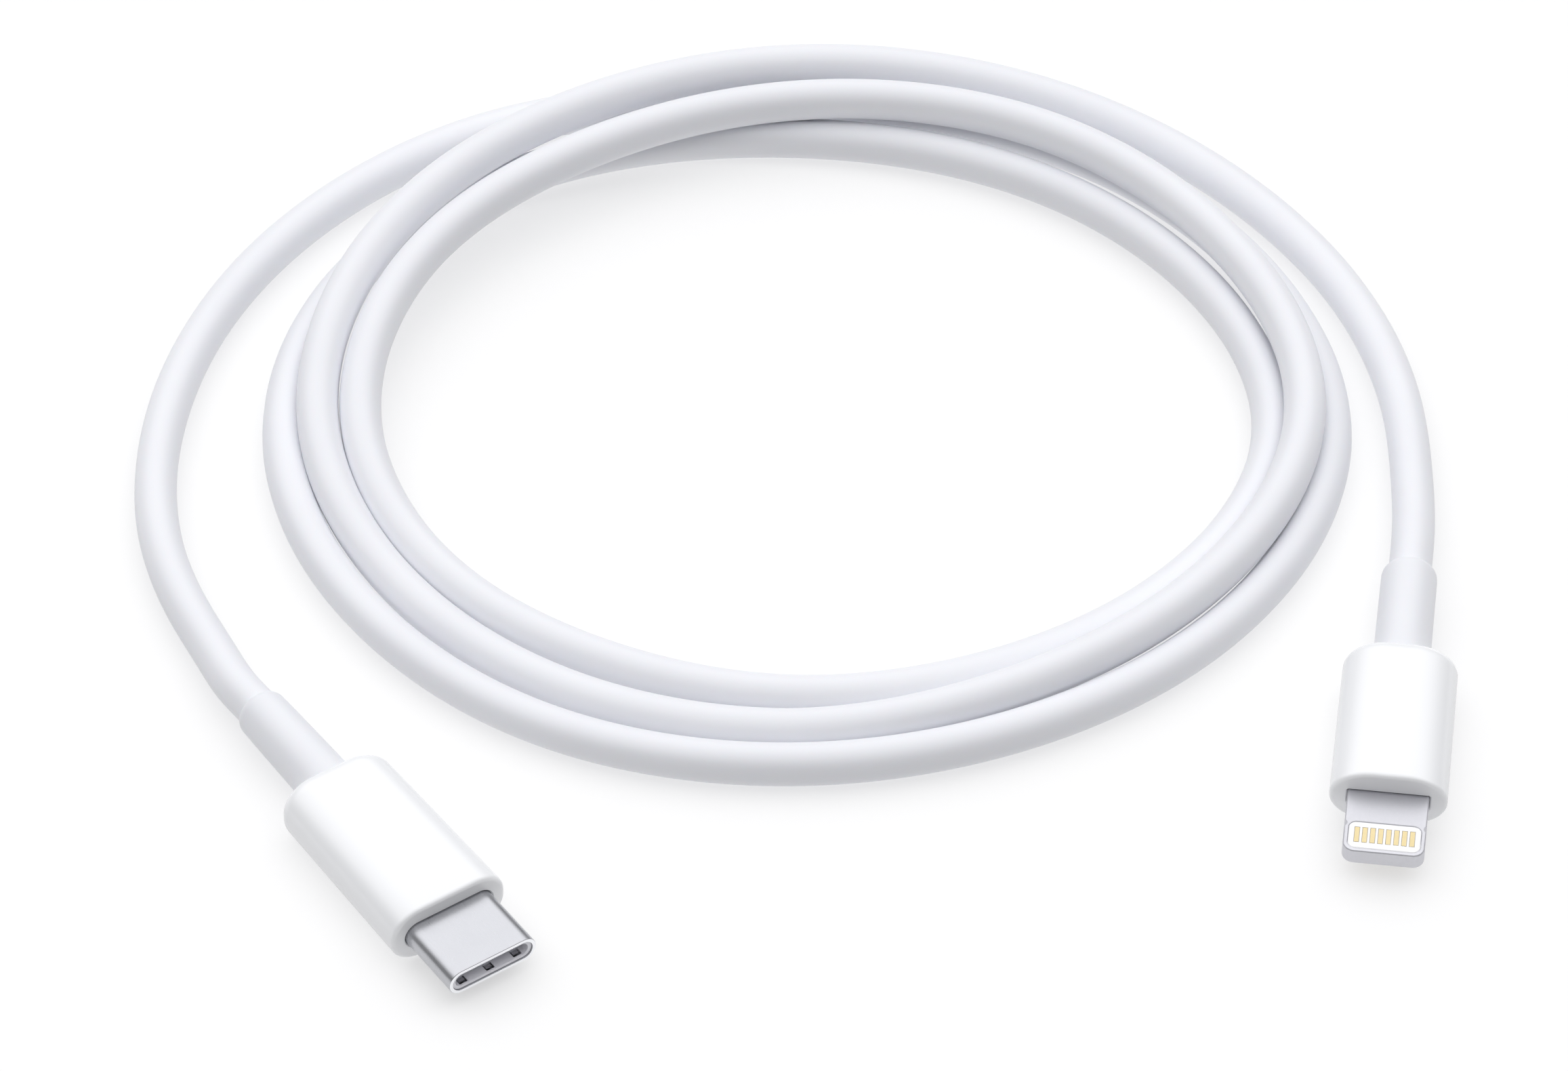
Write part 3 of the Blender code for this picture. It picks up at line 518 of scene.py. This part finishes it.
class PlugFrame:
    """Where one plug lies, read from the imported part's seat face, and sizes measured in its own frame."""

    def __init__(self, prefix: str) -> None:
        """Reads the plug's seat face.

        Args:
            prefix: what the names of the plug's nodes start with.
        """
        self.prefix = prefix
        seat = next(m for m in frame["record"]["mounts"] if m["name"] == f"{prefix}_seat_face")
        low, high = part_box(f"{prefix}_boot")
        forward = Vector(seat["axis"]).normalized()
        left = Vector((0, 0, 1)).cross(forward)
        origin = Vector((seat["pos_m"][0], seat["pos_m"][1], (low.z + high.z) / 2))
        self.heading = math.atan2(forward.y, forward.x)
        self.matrix = Matrix.Translation(origin) @ Matrix((forward, left, (0, 0, 1))).transposed().to_4x4()

    def box(self, node: str) -> tuple[Vector, Vector]:
        """Lowest and highest corner of one CAD node in the plug's frame.

        Args:
            node: the node's name without the plug's prefix.

        Returns:
            The two corners.
        """
        inverse = self.matrix.inverted()
        mesh = frame["nodes"][f"{self.prefix}_{node}"].data
        points = np.array([inverse @ vertex.co for vertex in mesh.vertices])
        return Vector(points.min(axis=0)), Vector(points.max(axis=0))

    def lay(self, piece: bpy.types.Object, slot: str, *nodes: str) -> None:
        """Lays a finished piece in its place on the part.

        Args:
            piece: the piece, modelled in the plug's frame.
            slot: the record's material slot; not used.
            nodes: the CAD nodes that it stands for, without the plug's prefix.
        """
        piece.data.transform(self.matrix)
        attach(piece, BODY)
        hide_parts(*(f"{self.prefix}_{node}" for node in nodes))
        log.info("%s: %d faces", piece.name, len(piece.data.polygons))

    def point(self, x: float) -> Vector:
        """A point of the plug's axis.

        Args:
            x: where it is along the plug.

        Returns:
            The point, in the part's own frame.
        """
        return self.matrix @ Vector((x, 0, 0))


@dataclass(frozen=True)
class Opening:
    """The hole in a grip's front face: a rounded rectangle, a little larger at the face than behind it."""

    half_width: float
    half_height: float
    corner: float
    face_corner: float

    def behind(self) -> Outline:
        """The hole behind its edge.

        Returns:
            Its outline.
        """
        return section(self.half_width, self.half_height, self.corner)

    def at_face(self) -> Outline:
        """The hole at the face, larger by its edge.

        Returns:
            Its outline.
        """
        return section(self.half_width + HOLE_EDGE, self.half_height + HOLE_EDGE, self.face_corner)


@dataclass(frozen=True)
class Grip:
    """The hard grip and the soft relief of one plug."""

    plug: PlugFrame
    corner: float
    soft: float
    rear_width: float
    rear_plan: float
    rear_rise: float
    front_edge: float = 0.4 * MM
    relief_edge: float = 0.1 * MM
    relief_shoulder: float = 0.75 * MM
    relief_taper: float = 0.03 * MM
    cord_radius: float = 1.825 * MM
    cord_gap: float = 0.03 * MM
    wall: float = 0.6 * MM
    front_wall: float = 0.9 * MM
    neck_share: float = 0.69
    root_share: float = 0.66
    root_depth: float = 0.5 * MM
    sunk: float = 0.45 * MM
    straight_steps: int = 5
    steps: int = 8

    def build(self, opening: Opening) -> None:
        """Builds both pieces and lays them in place.

        Args:
            opening: the hole in the front face.
        """
        self.build_sleeve(opening)
        self.build_relief()

    def build_sleeve(self, opening: Opening) -> None:
        """The grip: a rounded sleeve with an opening for the plug in front and for the relief behind.

        Args:
            opening: the hole in the front face.
        """
        low, high = self.plug.box("boot")
        length = -low.x
        half_height = high.z
        front = high.y
        rear = self.rear_width / 2
        loops = []
        for i in range(self.steps + 1):
            angle = math.radians(90 * i / self.steps)
            inset = self.front_edge * (1 - math.sin(angle))
            x = -self.front_edge * (1 - math.cos(angle))
            shape = section(front - inset, half_height - inset, self.corner - inset, self.soft)
            loops.append(across(x, shape))
        straight_end = -length + self.rear_plan
        for i in range(1, self.straight_steps):
            share = i / self.straight_steps
            half_width = front + (rear - front) * share
            x = -self.front_edge + (straight_end + self.front_edge) * share
            loops.append(across(x, section(half_width, half_height, self.corner, self.soft)))
        for i in range(2 * self.steps + 1):
            angle = math.radians(90 * i / (2 * self.steps))
            x = straight_end - self.rear_plan * math.sin(angle)
            inset = self.rear_plan * (1 - math.cos(angle))
            drop = self.rear_rise * (1 - math.cos(angle))
            radius = max(self.corner - drop, self.rear_rise)
            loops.append(across(x, section(rear - inset, half_height - drop, radius, self.soft)))
        neck = self.plug.box("strain_relief")[1].y * self.neck_share
        wall = self.wall
        behind_face = -self.front_wall
        room = half_height - wall
        round_inside = self.corner - wall
        loops.append(across(-length, circle(neck)))
        loops.append(across(-length + wall, circle(neck)))
        loops.append(across(-length + wall, section(rear - self.rear_plan, room, round_inside, self.soft)))
        loops.append(across(behind_face, section(front - self.front_wall, room, round_inside, self.soft)))
        loops.append(across(behind_face, opening.behind()))
        loops.append(across(-HOLE_EDGE, opening.behind()))
        loops.append(across(0, opening.at_face()))
        sleeve = skin(f"{self.plug.prefix}_grip_sleeve", loops, is_ring=True)
        smooth(sleeve, SHARP_EDGE_ROUND)
        dress(sleeve, GRIP)
        self.plug.lay(sleeve, "grip_plastic", "boot")

    def build_relief(self) -> None:
        """The relief: a soft tube with a round shoulder, snug on the cord and sunk in the grip's rear."""
        low, high = self.plug.box("strain_relief")
        radius = high.y
        seat = self.plug.box("boot")[0].x + self.sunk
        back = low.x
        snug = self.cord_radius + self.cord_gap
        root = radius * self.root_share
        edge = self.relief_edge
        loops = [
            across(seat + self.root_depth, circle(snug)),
            across(seat + self.root_depth, circle(root)),
            across(seat, circle(root)),
            across(seat, circle(radius - edge)),
            across(seat - edge, circle(radius)),
        ]
        span = seat - back
        for i in range(1, self.straight_steps):
            share = i / self.straight_steps
            loops.append(across(seat - span * share, circle(radius - self.relief_taper * share)))
        end = radius - self.relief_taper
        rise = end - snug
        for i in range(self.steps + 1):
            angle = math.radians(90 * i / self.steps)
            x = back + self.relief_shoulder * (1 - math.sin(angle))
            loops.append(across(x, circle(end - rise * (1 - math.cos(angle)))))
        relief = skin(f"{self.plug.prefix}_relief_sleeve", loops, is_ring=True)
        smooth(relief, SHARP_EDGE_ROUND)
        dress(relief, RELIEF)
        self.plug.lay(relief, "relief_elastomer", "strain_relief")


@dataclass(frozen=True)
class OvalPlug:
    """The reversible oval plug: drawn shell, mouth liner, grip and relief."""

    plug: PlugFrame = field(default_factory=lambda: PlugFrame("oval"))
    shell_wall: float = 0.25 * MM
    rim_wall: float = 0.33 * MM
    rim_length: float = 0.13 * MM
    outer_lip: float = 0.09 * MM
    inner_lip: float = 0.03 * MM
    window_width: float = 0.8 * MM
    window_length: float = 0.75 * MM
    window_pitch: float = 2.58 * MM
    # How far forward a shell face must point to take the rim's painted highlight.
    rim_facing: float = 0.8
    window_bridge: float = 0.2 * MM
    window_floor: float = 0.1 * MM
    window_corner: float = 0.1 * MM
    spring_recess: float = 0.15 * MM
    spring_gap: float = 0.05 * MM
    liner_set_back: float = 0.15 * MM
    liner_wall: float = 0.28 * MM
    liner_side: float = 0.38 * MM
    liner_edge: float = 0.05 * MM
    slot_end: float = 1.1 * MM
    slot_gap: float = 0.05 * MM
    lip_steps: int = 5

    def finish(self, name: str, light: str, dark: str, roughness: float) -> Finish:
        """A metal of this plug, its grain drawn out along the plug.

        Args:
            name: the material's name.
            light: its lighter tone, in hex digits.
            dark: its darker tone, in hex digits.
            roughness: its roughness.

        Returns:
            The finish.
        """
        return Finish(name, light, dark, roughness, Grain.DRAWN, 0.8, 0.0006, tone_mm=3.0, metallic=1.0,
                      roughness_swing=0.04, turn=self.plug.heading)

    def build(self) -> None:
        """Builds the plug's visible pieces and dresses the ones inside it."""
        self.build_shell()
        self.build_liner()
        high = self.plug.box("shell")[1]
        wide, tall = high.y + HOLE_GAP, high.z + HOLE_GAP
        grip = Grip(self.plug, corner=2.4 * MM, soft=0.12, rear_width=10.2 * MM, rear_plan=1.5 * MM,
                    rear_rise=0.6 * MM, relief_taper=0.2 * MM)
        grip.build(Opening(wide, tall, corner=tall, face_corner=tall + HOLE_EDGE))
        self.dress_inside()

    def build_shell(self) -> None:
        """The shell: drawn stainless steel, its rim thickened inwards and faced flat, with a painted
        highlight on that flat front.
        """
        low, high = self.plug.box("shell")
        loops = [across(low.x, oval(high.y, high.z))]
        for i in range(self.lip_steps + 1):
            angle = math.radians(90 * i / self.lip_steps)
            inset = self.outer_lip * (1 - math.cos(angle))
            x = high.x - self.outer_lip * (1 - math.sin(angle))
            loops.append(across(x, oval(high.y - inset, high.z - inset)))
        for i in range(self.lip_steps + 1):
            angle = math.radians(90 * i / self.lip_steps)
            inset = self.rim_wall - self.inner_lip * (1 - math.sin(angle))
            x = high.x - self.inner_lip * (1 - math.cos(angle))
            loops.append(across(x, oval(high.y - inset, high.z - inset)))
        rim = oval(high.y - self.rim_wall, high.z - self.rim_wall)
        inner = oval(high.y - self.shell_wall, high.z - self.shell_wall)
        loops.append(across(high.x - self.rim_length, rim))
        loops.append(across(high.x - self.rim_length, inner))
        loops.append(across(low.x, inner))
        shell = skin("oval_metal_shell", loops, is_ring=True)
        smooth(shell)
        dress(shell, self.finish("satin_polished_stainless_steel", "BEBFC3", "B9BABE", 0.3))
        # The faces of the rim's flat front take the brighter steel: a painted highlight.
        shell.data.materials.append(RIM_WITH_PAINTED_HIGHLIGHT.build())
        for face in shell.data.polygons:
            if face.normal.x > self.rim_facing:
                face.material_index = 1
        self.plug.lay(shell, "polished_steel", "shell")

    def build_liner(self) -> None:
        """The mouth liner, with a window for each spring finger and a slot for each latch arm."""
        low, high = self.plug.box("front_insulator")
        high.x = self.plug.box("shell")[1].x - self.liner_set_back
        edge = self.liner_edge
        inner = (high.y - self.liner_side, high.z - self.liner_wall)
        loops = [
            across(low.x, oval(high.y, high.z)),
            across(high.x - edge, oval(high.y, high.z)),
            across(high.x, oval(high.y - edge, high.z - edge)),
            across(high.x, oval(inner[0] + edge, inner[1] + edge)),
            across(high.x - edge, oval(*inner)),
            across(low.x, oval(*inner)),
        ]
        liner = skin("oval_mouth_liner", loops, is_ring=True)
        window_front = high.x - self.window_bridge
        spring_low, spring_high = self.plug.box("ground_spring_upper")
        arm_low, arm_high = self.plug.box("latch_arm_left")
        gap = self.spring_gap
        for side in (1, -1):
            depth = sorted((side * (high.z - self.spring_recess), side * (high.z + CUT_PAST)))
            cut(liner, cutter_box(Vector((spring_low.x - gap, spring_low.y - gap, depth[0])),
                                  Vector((window_front, spring_high.y + gap, depth[1]))))
            depth = sorted((side * self.window_floor, side * (high.z + CUT_PAST)))
            for i in (-1, 0, 1):
                y = i * self.window_pitch
                corner = Vector((window_front - self.window_length, y - self.window_width / 2, depth[0]))
                other = Vector((window_front, y + self.window_width / 2, depth[1]))
                cut(liner, cutter_box(corner, other, self.window_corner))
            sides = sorted((side * (inner[0] - self.liner_side), side * (high.y + CUT_PAST)))
            slot_low = Vector((low.x - CUT_PAST, sides[0], arm_low.z - self.slot_gap))
            slot_high = Vector((high.x - self.slot_end, sides[1], arm_high.z + self.slot_gap))
            cut(liner, cutter_box(slot_low, slot_high))
        smooth(liner)
        dress(liner, LINER)
        self.plug.lay(liner, "contact_plastic", "front_insulator")

    def dress_inside(self) -> None:
        """Finishes for the CAD nodes that stay: springs, latch, contacts and blocks."""
        spring = self.finish("rolled_spring_steel", "D6D6DA", "CBCBCF", 0.5)
        gold = self.finish("gold_flash_plating", "E6C98C", "D9B878", 0.28)
        for name, node in frame["nodes"].items():
            if not name.startswith("oval_"):
                continue
            if "spring" in name or "latch" in name or "shield" in name:
                dress(node, spring)
            elif "contact_block" in name:
                dress(node, LINER)
            elif "contact" in name:
                dress(node, gold)


@dataclass(frozen=True)
class BladePlug:
    """The slim blade plug: nickel plated ring, white insert, gold pads, grip and relief."""

    plug: PlugFrame = field(default_factory=lambda: PlugFrame("blade"))
    corner: float = 1.0 * MM
    edge: float = 0.17 * MM
    opening_edge: float = 0.05 * MM
    opening_corner: float = 0.7 * MM
    insert_gap: float = 0.02 * MM
    insert_edge: float = 0.06 * MM
    pad_gap: float = 0.04 * MM
    pocket_corner: float = 0.06 * MM
    detent_radius: float = 0.45 * MM
    detent_depth: float = 0.25 * MM
    detent_behind_tip: float = 3.1 * MM
    detent_sides: int = 48
    edge_steps: int = 5

    def finish(self, name: str, light: str, dark: str, roughness: float) -> Finish:
        """A plated metal of this plug.

        Args:
            name: the material's name.
            light: its lighter tone, in hex digits.
            dark: its darker tone, in hex digits.
            roughness: its roughness.

        Returns:
            The finish.
        """
        return Finish(name, light, dark, roughness, Grain.EVEN, 0.25, 0.0008, tone_mm=2.5, metallic=1.0,
                      roughness_swing=0.04, turn=self.plug.heading)

    def build(self) -> None:
        """Builds the plug's visible pieces and dresses the ones inside it."""
        self.build_ring()
        self.build_insert()
        high = self.plug.box("ground_ring")[1]
        grip = Grip(self.plug, corner=2.5 * MM, soft=0.45, rear_width=9.6 * MM, rear_plan=1.5 * MM,
                    rear_rise=0.8 * MM)
        wide, tall = high.y + HOLE_GAP, high.z + HOLE_GAP
        grip.build(Opening(wide, tall, corner=self.edge, face_corner=2 * HOLE_EDGE))
        self.dress_inside()

    def build_ring(self) -> None:
        """The ring: a rounded tongue of nickel plated steel with the insert's opening and two detents."""
        low, high = self.plug.box("ground_ring")
        inner_low, inner_high = self.plug.box("insert")
        middle = (high.x + low.x) / 2
        half_length = (high.x - low.x) / 2
        loops = []
        for turn in (-1, 1):
            for i in range(self.edge_steps + 1):
                angle = math.radians(90 * (i if turn < 0 else self.edge_steps - i) / self.edge_steps)
                inset = self.edge * (1 - math.sin(angle))
                z = turn * (high.z - self.edge * (1 - math.cos(angle)))
                shape = section(high.y - inset, half_length - inset, self.corner - inset)
                loops.append(flat(z, middle, shape))
        opening_middle = (inner_high.x + inner_low.x) / 2
        half_opening = (inner_high.x - inner_low.x) / 2 + self.insert_gap
        half_wide = inner_high.y + self.insert_gap
        for z, grow in ((high.z, self.opening_edge), (high.z - self.opening_edge, 0.0),
                        (-high.z + self.opening_edge, 0.0), (-high.z, self.opening_edge)):
            shape = section(half_wide + grow, half_opening + grow, self.opening_corner + grow)
            loops.append(flat(z, opening_middle, shape))
        ring = skin("blade_metal_ring", loops, is_ring=True)
        twice_as_tall = 4 * high.z
        for side in (1, -1):
            deselect()
            y = side * (high.y + self.detent_radius - self.detent_depth)
            bpy.ops.mesh.primitive_cylinder_add(
                vertices=self.detent_sides, radius=self.detent_radius, depth=twice_as_tall,
                location=(high.x - self.detent_behind_tip, y, 0))
            cut(ring, bpy.context.active_object)
        smooth(ring)
        dress(ring, self.finish("satin_nickel_plating", "D0D0D5", "CCCCD1", 0.48))
        self.plug.lay(ring, "nickel_plate", "ground_ring")

    def build_insert(self) -> None:
        """The white insert, with a shallow pocket round each pad."""
        low, high = self.plug.box("insert")
        middle = (high.x + low.x) / 2
        half_length = (high.x - low.x) / 2
        round_over = self.insert_edge
        radius = self.opening_corner - round_over
        loops = []
        for z, inset in ((low.z, round_over), (low.z + round_over, 0.0),
                         (high.z - round_over, 0.0), (high.z, round_over)):
            shape = section(high.y - inset, half_length - inset, radius - inset)
            loops.append(flat(z, middle, shape))
        insert = skin("blade_white_insert", loops)
        for name in frame["nodes"]:
            if not name.startswith("blade_pad_"):
                continue
            pad_low, pad_high = self.plug.box(name.removeprefix("blade_"))
            margin = Vector((self.pad_gap, self.pad_gap, self.pad_gap))
            if pad_high.z > 0:
                pad_high.z += CUT_PAST
            else:
                pad_low.z -= CUT_PAST
            cut(insert, cutter_box(pad_low - margin, pad_high + margin, self.pocket_corner))
        smooth(insert)
        dress(insert, INSERT)
        self.plug.lay(insert, "insert_plastic", "insert")

    def dress_inside(self) -> None:
        """Finishes for the CAD nodes that stay: pads and shield."""
        gold = self.finish("hard_gold_plating", "D6C79E", "CFBE92", 0.36)
        spring = self.finish("folded_tin_plate", "A9AAAE", "97989C", 0.35)
        for name, node in frame["nodes"].items():
            if name.startswith("blade_pad"):
                dress(node, gold)
            elif name == "blade_inner_shield":
                dress(node, spring)


def dress_hidden_parts() -> None:
    """Finishes for the inner moulds, boards, chip and wires of both plugs."""
    for name, node in frame["nodes"].items():
        if name.endswith("inner_mould"):
            dress(node, CORE)
        elif name.endswith("circuit_board"):
            dress(node, BOARD)
        elif name.endswith("chip"):
            dress(node, CHIP)
        for wire in WIRES:
            if name.endswith(f"wire_{wire.colour}"):
                dress(node, wire.finish())


# --------------------------------------------------------------------------------------------------- cord


OUTER_TURN = (
    (53.9, 0.0), (51.8, 0.0), (48.9, 0.0), (45.0, 0.0), (46.3, 0.0),
    (47.3, 0.0), (47.3, 0.0), (43.8, 0.0), (40.4, 0.0), (39.3, 0.0), (40.0, 0.0),
)
LOWER_TURN = (
    (41.3, 0.0), (43.3, 0.0), (43.9, 0.0), (42.2, 0.0), (40.5, 0.0), (41.1, 0.0),
    (42.2, 0.0), (42.2, 0.0), (37.4, 0.0), (33.1, 0.0), (31.3, 0.0), (31.1, 0.0),
)
UPPER_TURN = (
    (33.4, 0.05), (36.5, 0.48), (37.7, 0.98), (38.7, 1.0), (41.4, 0.97), (44.3, 0.9),
    (45.1, 0.84), (44.9, 0.78), (40.6, 0.57), (36.7, 0.3), (35.3, 0.0), (35.6, 0.0),
)
LAST_TURN = (
    (37.2, 0.04), (40.2, 0.49), (42.0, 0.97), (44.1, 1.0), (46.9, 0.9), (50.7, 0.35),
    (52.9, 0.0),
)


@dataclass(frozen=True)
class Cord:
    """The cord, from inside one relief to inside the other.

    Its turns are read as on a clock face, an hour at a time: the distance from the coil's middle in mm, and
    how many cord diameters it is raised by the turns that it lies on. At each plug it leaves the relief
    straight for a few millimetres, and starts to fall towards the surface.
    """

    start: PlugFrame
    end: PlugFrame
    diameter: float = 3.65 * MM
    length: float = 0.98
    gap: float = 0.3 * MM
    tuck: float = 2.0 * MM
    middle: tuple[float, float] = (-5.4 * MM, 41.2 * MM)
    first_hour: int = 9
    hour: float = 30.0
    exit_run: float = 0.8
    exit_drop: float = 0.15
    turns: tuple = OUTER_TURN + LOWER_TURN + UPPER_TURN + LAST_TURN
    lead_out: tuple = ((-52.8, 14.2, 0.07), (-56.0, 21.0, 0.0), (-58.3, 27.8, 0.0))
    lead_in: tuple = ((48.4, 44.6, 0.0), (48.6, 37.0, 0.0), (48.4, 31.4, 0.07))
    points: int = 900
    fine_points: int = 3600
    bevel_resolution: int = 8

    def lifted(self, lift: float) -> float:
        """Height of the cord's middle.

        Args:
            lift: how many diameters it is raised by.

        Returns:
            The height.
        """
        return self.diameter * (0.5 + lift)

    def exit_points(self, plug: PlugFrame) -> list[Vector]:
        """The cord's first points at one plug: it leaves the relief along the plug's axis.

        Args:
            plug: where the plug lies.

        Returns:
            The points, from inside the relief outwards.
        """
        back = plug.box("strain_relief")[0].x
        points = [plug.point(back + self.tuck), plug.point(back - self.gap)]
        last = plug.point(back - self.gap - self.exit_run * self.diameter)
        last.z -= self.exit_drop * (last.z - self.lifted(0))
        return [*points, last]

    def route(self) -> np.ndarray:
        """The points that the cord passes through.

        Returns:
            One row for each point.
        """
        points = [tuple(point) for point in self.exit_points(self.start)]
        points += [(x * MM, y * MM, self.lifted(lift)) for x, y, lift in self.lead_out]
        for i, (radius, lift) in enumerate(self.turns):
            angle = math.radians(90 - self.hour * (self.first_hour + i))
            x = self.middle[0] + radius * MM * math.cos(angle)
            y = self.middle[1] + radius * MM * math.sin(angle)
            points.append((x, y, self.lifted(lift)))
        points += [(x * MM, y * MM, self.lifted(lift)) for x, y, lift in self.lead_in]
        points += [tuple(point) for point in reversed(self.exit_points(self.end))]
        return np.array(points)

    def smooth_line(self) -> np.ndarray:
        """Evenly spaced points on a natural cubic spline through the route, held up by the surface.

        Returns:
            One row for each point.
        """
        points = self.route()
        spacing = np.linalg.norm(np.diff(points, axis=0), axis=1)
        along = np.concatenate(([0.0], np.cumsum(spacing)))
        rows = len(points)
        matrix = np.eye(rows)
        right = np.zeros((rows, 3))
        for i in range(1, rows - 1):
            matrix[i, i - 1:i + 2] = (spacing[i - 1], 2 * (spacing[i - 1] + spacing[i]), spacing[i])
            ahead = (points[i + 1] - points[i]) / spacing[i]
            astern = (points[i] - points[i - 1]) / spacing[i - 1]
            right[i] = 6 * (ahead - astern)
        bend = np.linalg.solve(matrix, right)
        fine = np.linspace(0, along[-1], self.fine_points)
        piece = np.clip(np.searchsorted(along, fine, side="right") - 1, 0, rows - 2)
        h = spacing[piece][:, None]
        ahead = (along[piece + 1] - fine)[:, None]
        done = (fine - along[piece])[:, None]
        curve = (
            bend[piece] * ahead**3 / (6 * h)
            + bend[piece + 1] * done**3 / (6 * h)
            + (points[piece] / h - bend[piece] * h / 6) * ahead
            + (points[piece + 1] / h - bend[piece + 1] * h / 6) * done
        )
        curve[:, 2] = np.maximum(curve[:, 2], self.lifted(0))
        steps = np.linalg.norm(np.diff(curve, axis=0), axis=1)
        length = np.concatenate(([0.0], np.cumsum(steps)))
        even = np.linspace(0, length[-1], self.points)
        return np.stack([np.interp(even, length, curve[:, axis]) for axis in range(3)], axis=1)

    def build(self) -> None:
        line = self.smooth_line()
        curve = bpy.data.curves.new("cord_line", "CURVE")
        curve.dimensions = "3D"
        curve.bevel_depth = self.diameter / 2
        curve.bevel_resolution = self.bevel_resolution
        curve.use_fill_caps = True
        spline = curve.splines.new("POLY")
        spline.points.add(len(line) - 1)
        for point, place in zip(spline.points, line):
            point.co = (*map(float, place), 1.0)
        spline.use_smooth = True
        cord = bpy.data.objects.new("cord_line", curve)
        bpy.context.scene.collection.objects.link(cord)
        cord.data.materials.append(JACKET.build())
        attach(cord, BODY)
        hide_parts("cord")
        tuple(self.start.point(self.start.box("strain_relief")[0].x))
        log.info("cord: %d points", len(line))


# -------------------------------------------------------------------------------------------------- stage


@dataclass(frozen=True)
class Stage:
    """A plain pale floor, soft studio light and the camera."""

    target: tuple[float, float, float] = (-5.4 * MM, 31.2 * MM, 0.0)
    elevation: float = math.radians(43.5)
    distance: float = 0.592
    lens: float = 158.7
    sensor: float = 36.0
    clip: tuple[float, float] = (0.01, 50.0)
    floor_size: float = 8.0
    floor_gap: float = 0.02 * MM
    floor_reflects: float = 0.5
    floor_glow: float = 0.48
    key_towards: tuple[float, float, float] = (-0.05, 0.2, 0.97)
    key_edge: tuple[float, float] = (0.4, 0.8)
    key_light: float = 1.32
    sky_light: float = 0.3
    front_light: float = 0.14
    front_edge: float = -0.6
    under_light: float = 1.05
    horizon: float = 0.03

    def build(self) -> None:
        """Builds the floor, the light and the camera."""
        self.add_camera()
        self.add_floor()
        self.add_world()
        bpy.context.scene.view_settings.view_transform = "Standard"
        log.info("stage: floor and light")

    def add_camera(self) -> None:
        """The camera, level and square to the part, looking down at it."""
        data = bpy.data.cameras.new("camera")
        data.lens = self.lens
        data.sensor_width = self.sensor
        data.clip_start, data.clip_end = self.clip
        camera = bpy.data.objects.new("camera", data)
        back = Vector((0, -math.cos(self.elevation), math.sin(self.elevation)))
        camera.location = Vector(self.target) + back * self.distance
        camera.rotation_euler = (math.pi / 2 - self.elevation, 0, 0)
        bpy.context.scene.collection.objects.link(camera)
        bpy.context.scene.camera = camera

    def add_floor(self) -> None:
        """The floor, a pale sheet on a light box, whose glow softens the shadows.

        It sends no diffuse light up: the world below the horizon stands in for what it would bounce.
        """
        deselect()
        bpy.ops.mesh.primitive_plane_add(size=self.floor_size, location=(0, 0, -self.floor_gap))
        floor = bpy.context.active_object
        floor.name = "studio_floor"
        floor.visible_diffuse = False
        made = bpy.data.materials.new("lit_studio_paper")
        made.use_nodes = True
        shader = made.node_tree.nodes["Principled BSDF"]
        shader.inputs["Base Color"].default_value = (self.floor_reflects,) * 3 + (1.0,)
        shader.inputs["Roughness"].default_value = 1.0
        shader.inputs["Specular IOR Level"].default_value = 0.0
        shader.inputs["Emission Color"].default_value = linear("FFFFFF")
        shader.inputs["Emission Strength"].default_value = self.floor_glow
        floor.data.materials.append(made)
        deselect()

    def add_world(self) -> None:
        """The studio: one broad soft light overhead and a little behind, in a dim room.

        The room is darkest in front, and below the horizon it is about as bright as the floor looks.
        """
        world = bpy.data.worlds.new("studio")
        bpy.context.scene.world = world
        world.use_nodes = True
        tree = world.node_tree
        tree.nodes.clear()
        place = add_node(tree, "ShaderNodeTexCoord")
        direction = place.outputs["Generated"]
        split = add_node(tree, "ShaderNodeSeparateXYZ", links={"Vector": direction})
        towards = add_node(tree, "ShaderNodeVectorMath", {1: Vector(self.key_towards).normalized()},
                           {0: direction}, operation="DOT_PRODUCT")
        key = add_node(tree, "ShaderNodeMapRange",
                       {"From Min": self.key_edge[0], "From Max": self.key_edge[1],
                        "To Max": self.key_light},
                       {"Value": towards.outputs["Value"]}, interpolation_type="SMOOTHSTEP")
        sky = add_node(tree, "ShaderNodeMapRange",
                       {"From Min": self.front_edge, "From Max": 0.0,
                        "To Min": self.front_light, "To Max": self.sky_light},
                       {"Value": split.outputs["Y"]})
        above = add_node(tree, "ShaderNodeMath",
                         links={0: key.outputs["Result"], 1: sky.outputs["Result"]}, operation="ADD")
        side = add_node(tree, "ShaderNodeMapRange", {"From Min": -self.horizon, "From Max": self.horizon},
                        {"Value": split.outputs["Z"]})
        strength = add_node(tree, "ShaderNodeMix", {"A": self.under_light},
                            {"Factor": side.outputs["Result"], "B": above.outputs[0]})
        shade = add_node(tree, "ShaderNodeBackground", {"Color": linear("FEFEFF")},
                         {"Strength": strength.outputs["Result"]})
        add_node(tree, "ShaderNodeOutputWorld", links={"Surface": shade.outputs["Background"]})


def main() -> None:
    """Builds the stage, the cord and both plugs."""
    logging.basicConfig(level=logging.INFO, format="%(name)s %(message)s")
    Stage().build()
    oval_plug = OvalPlug()
    blade_plug = BladePlug()
    Cord(oval_plug.plug, blade_plug.plug).build()
    oval_plug.build()
    blade_plug.build()
    dress_hidden_parts()


if __name__ == "__main__":
    main()
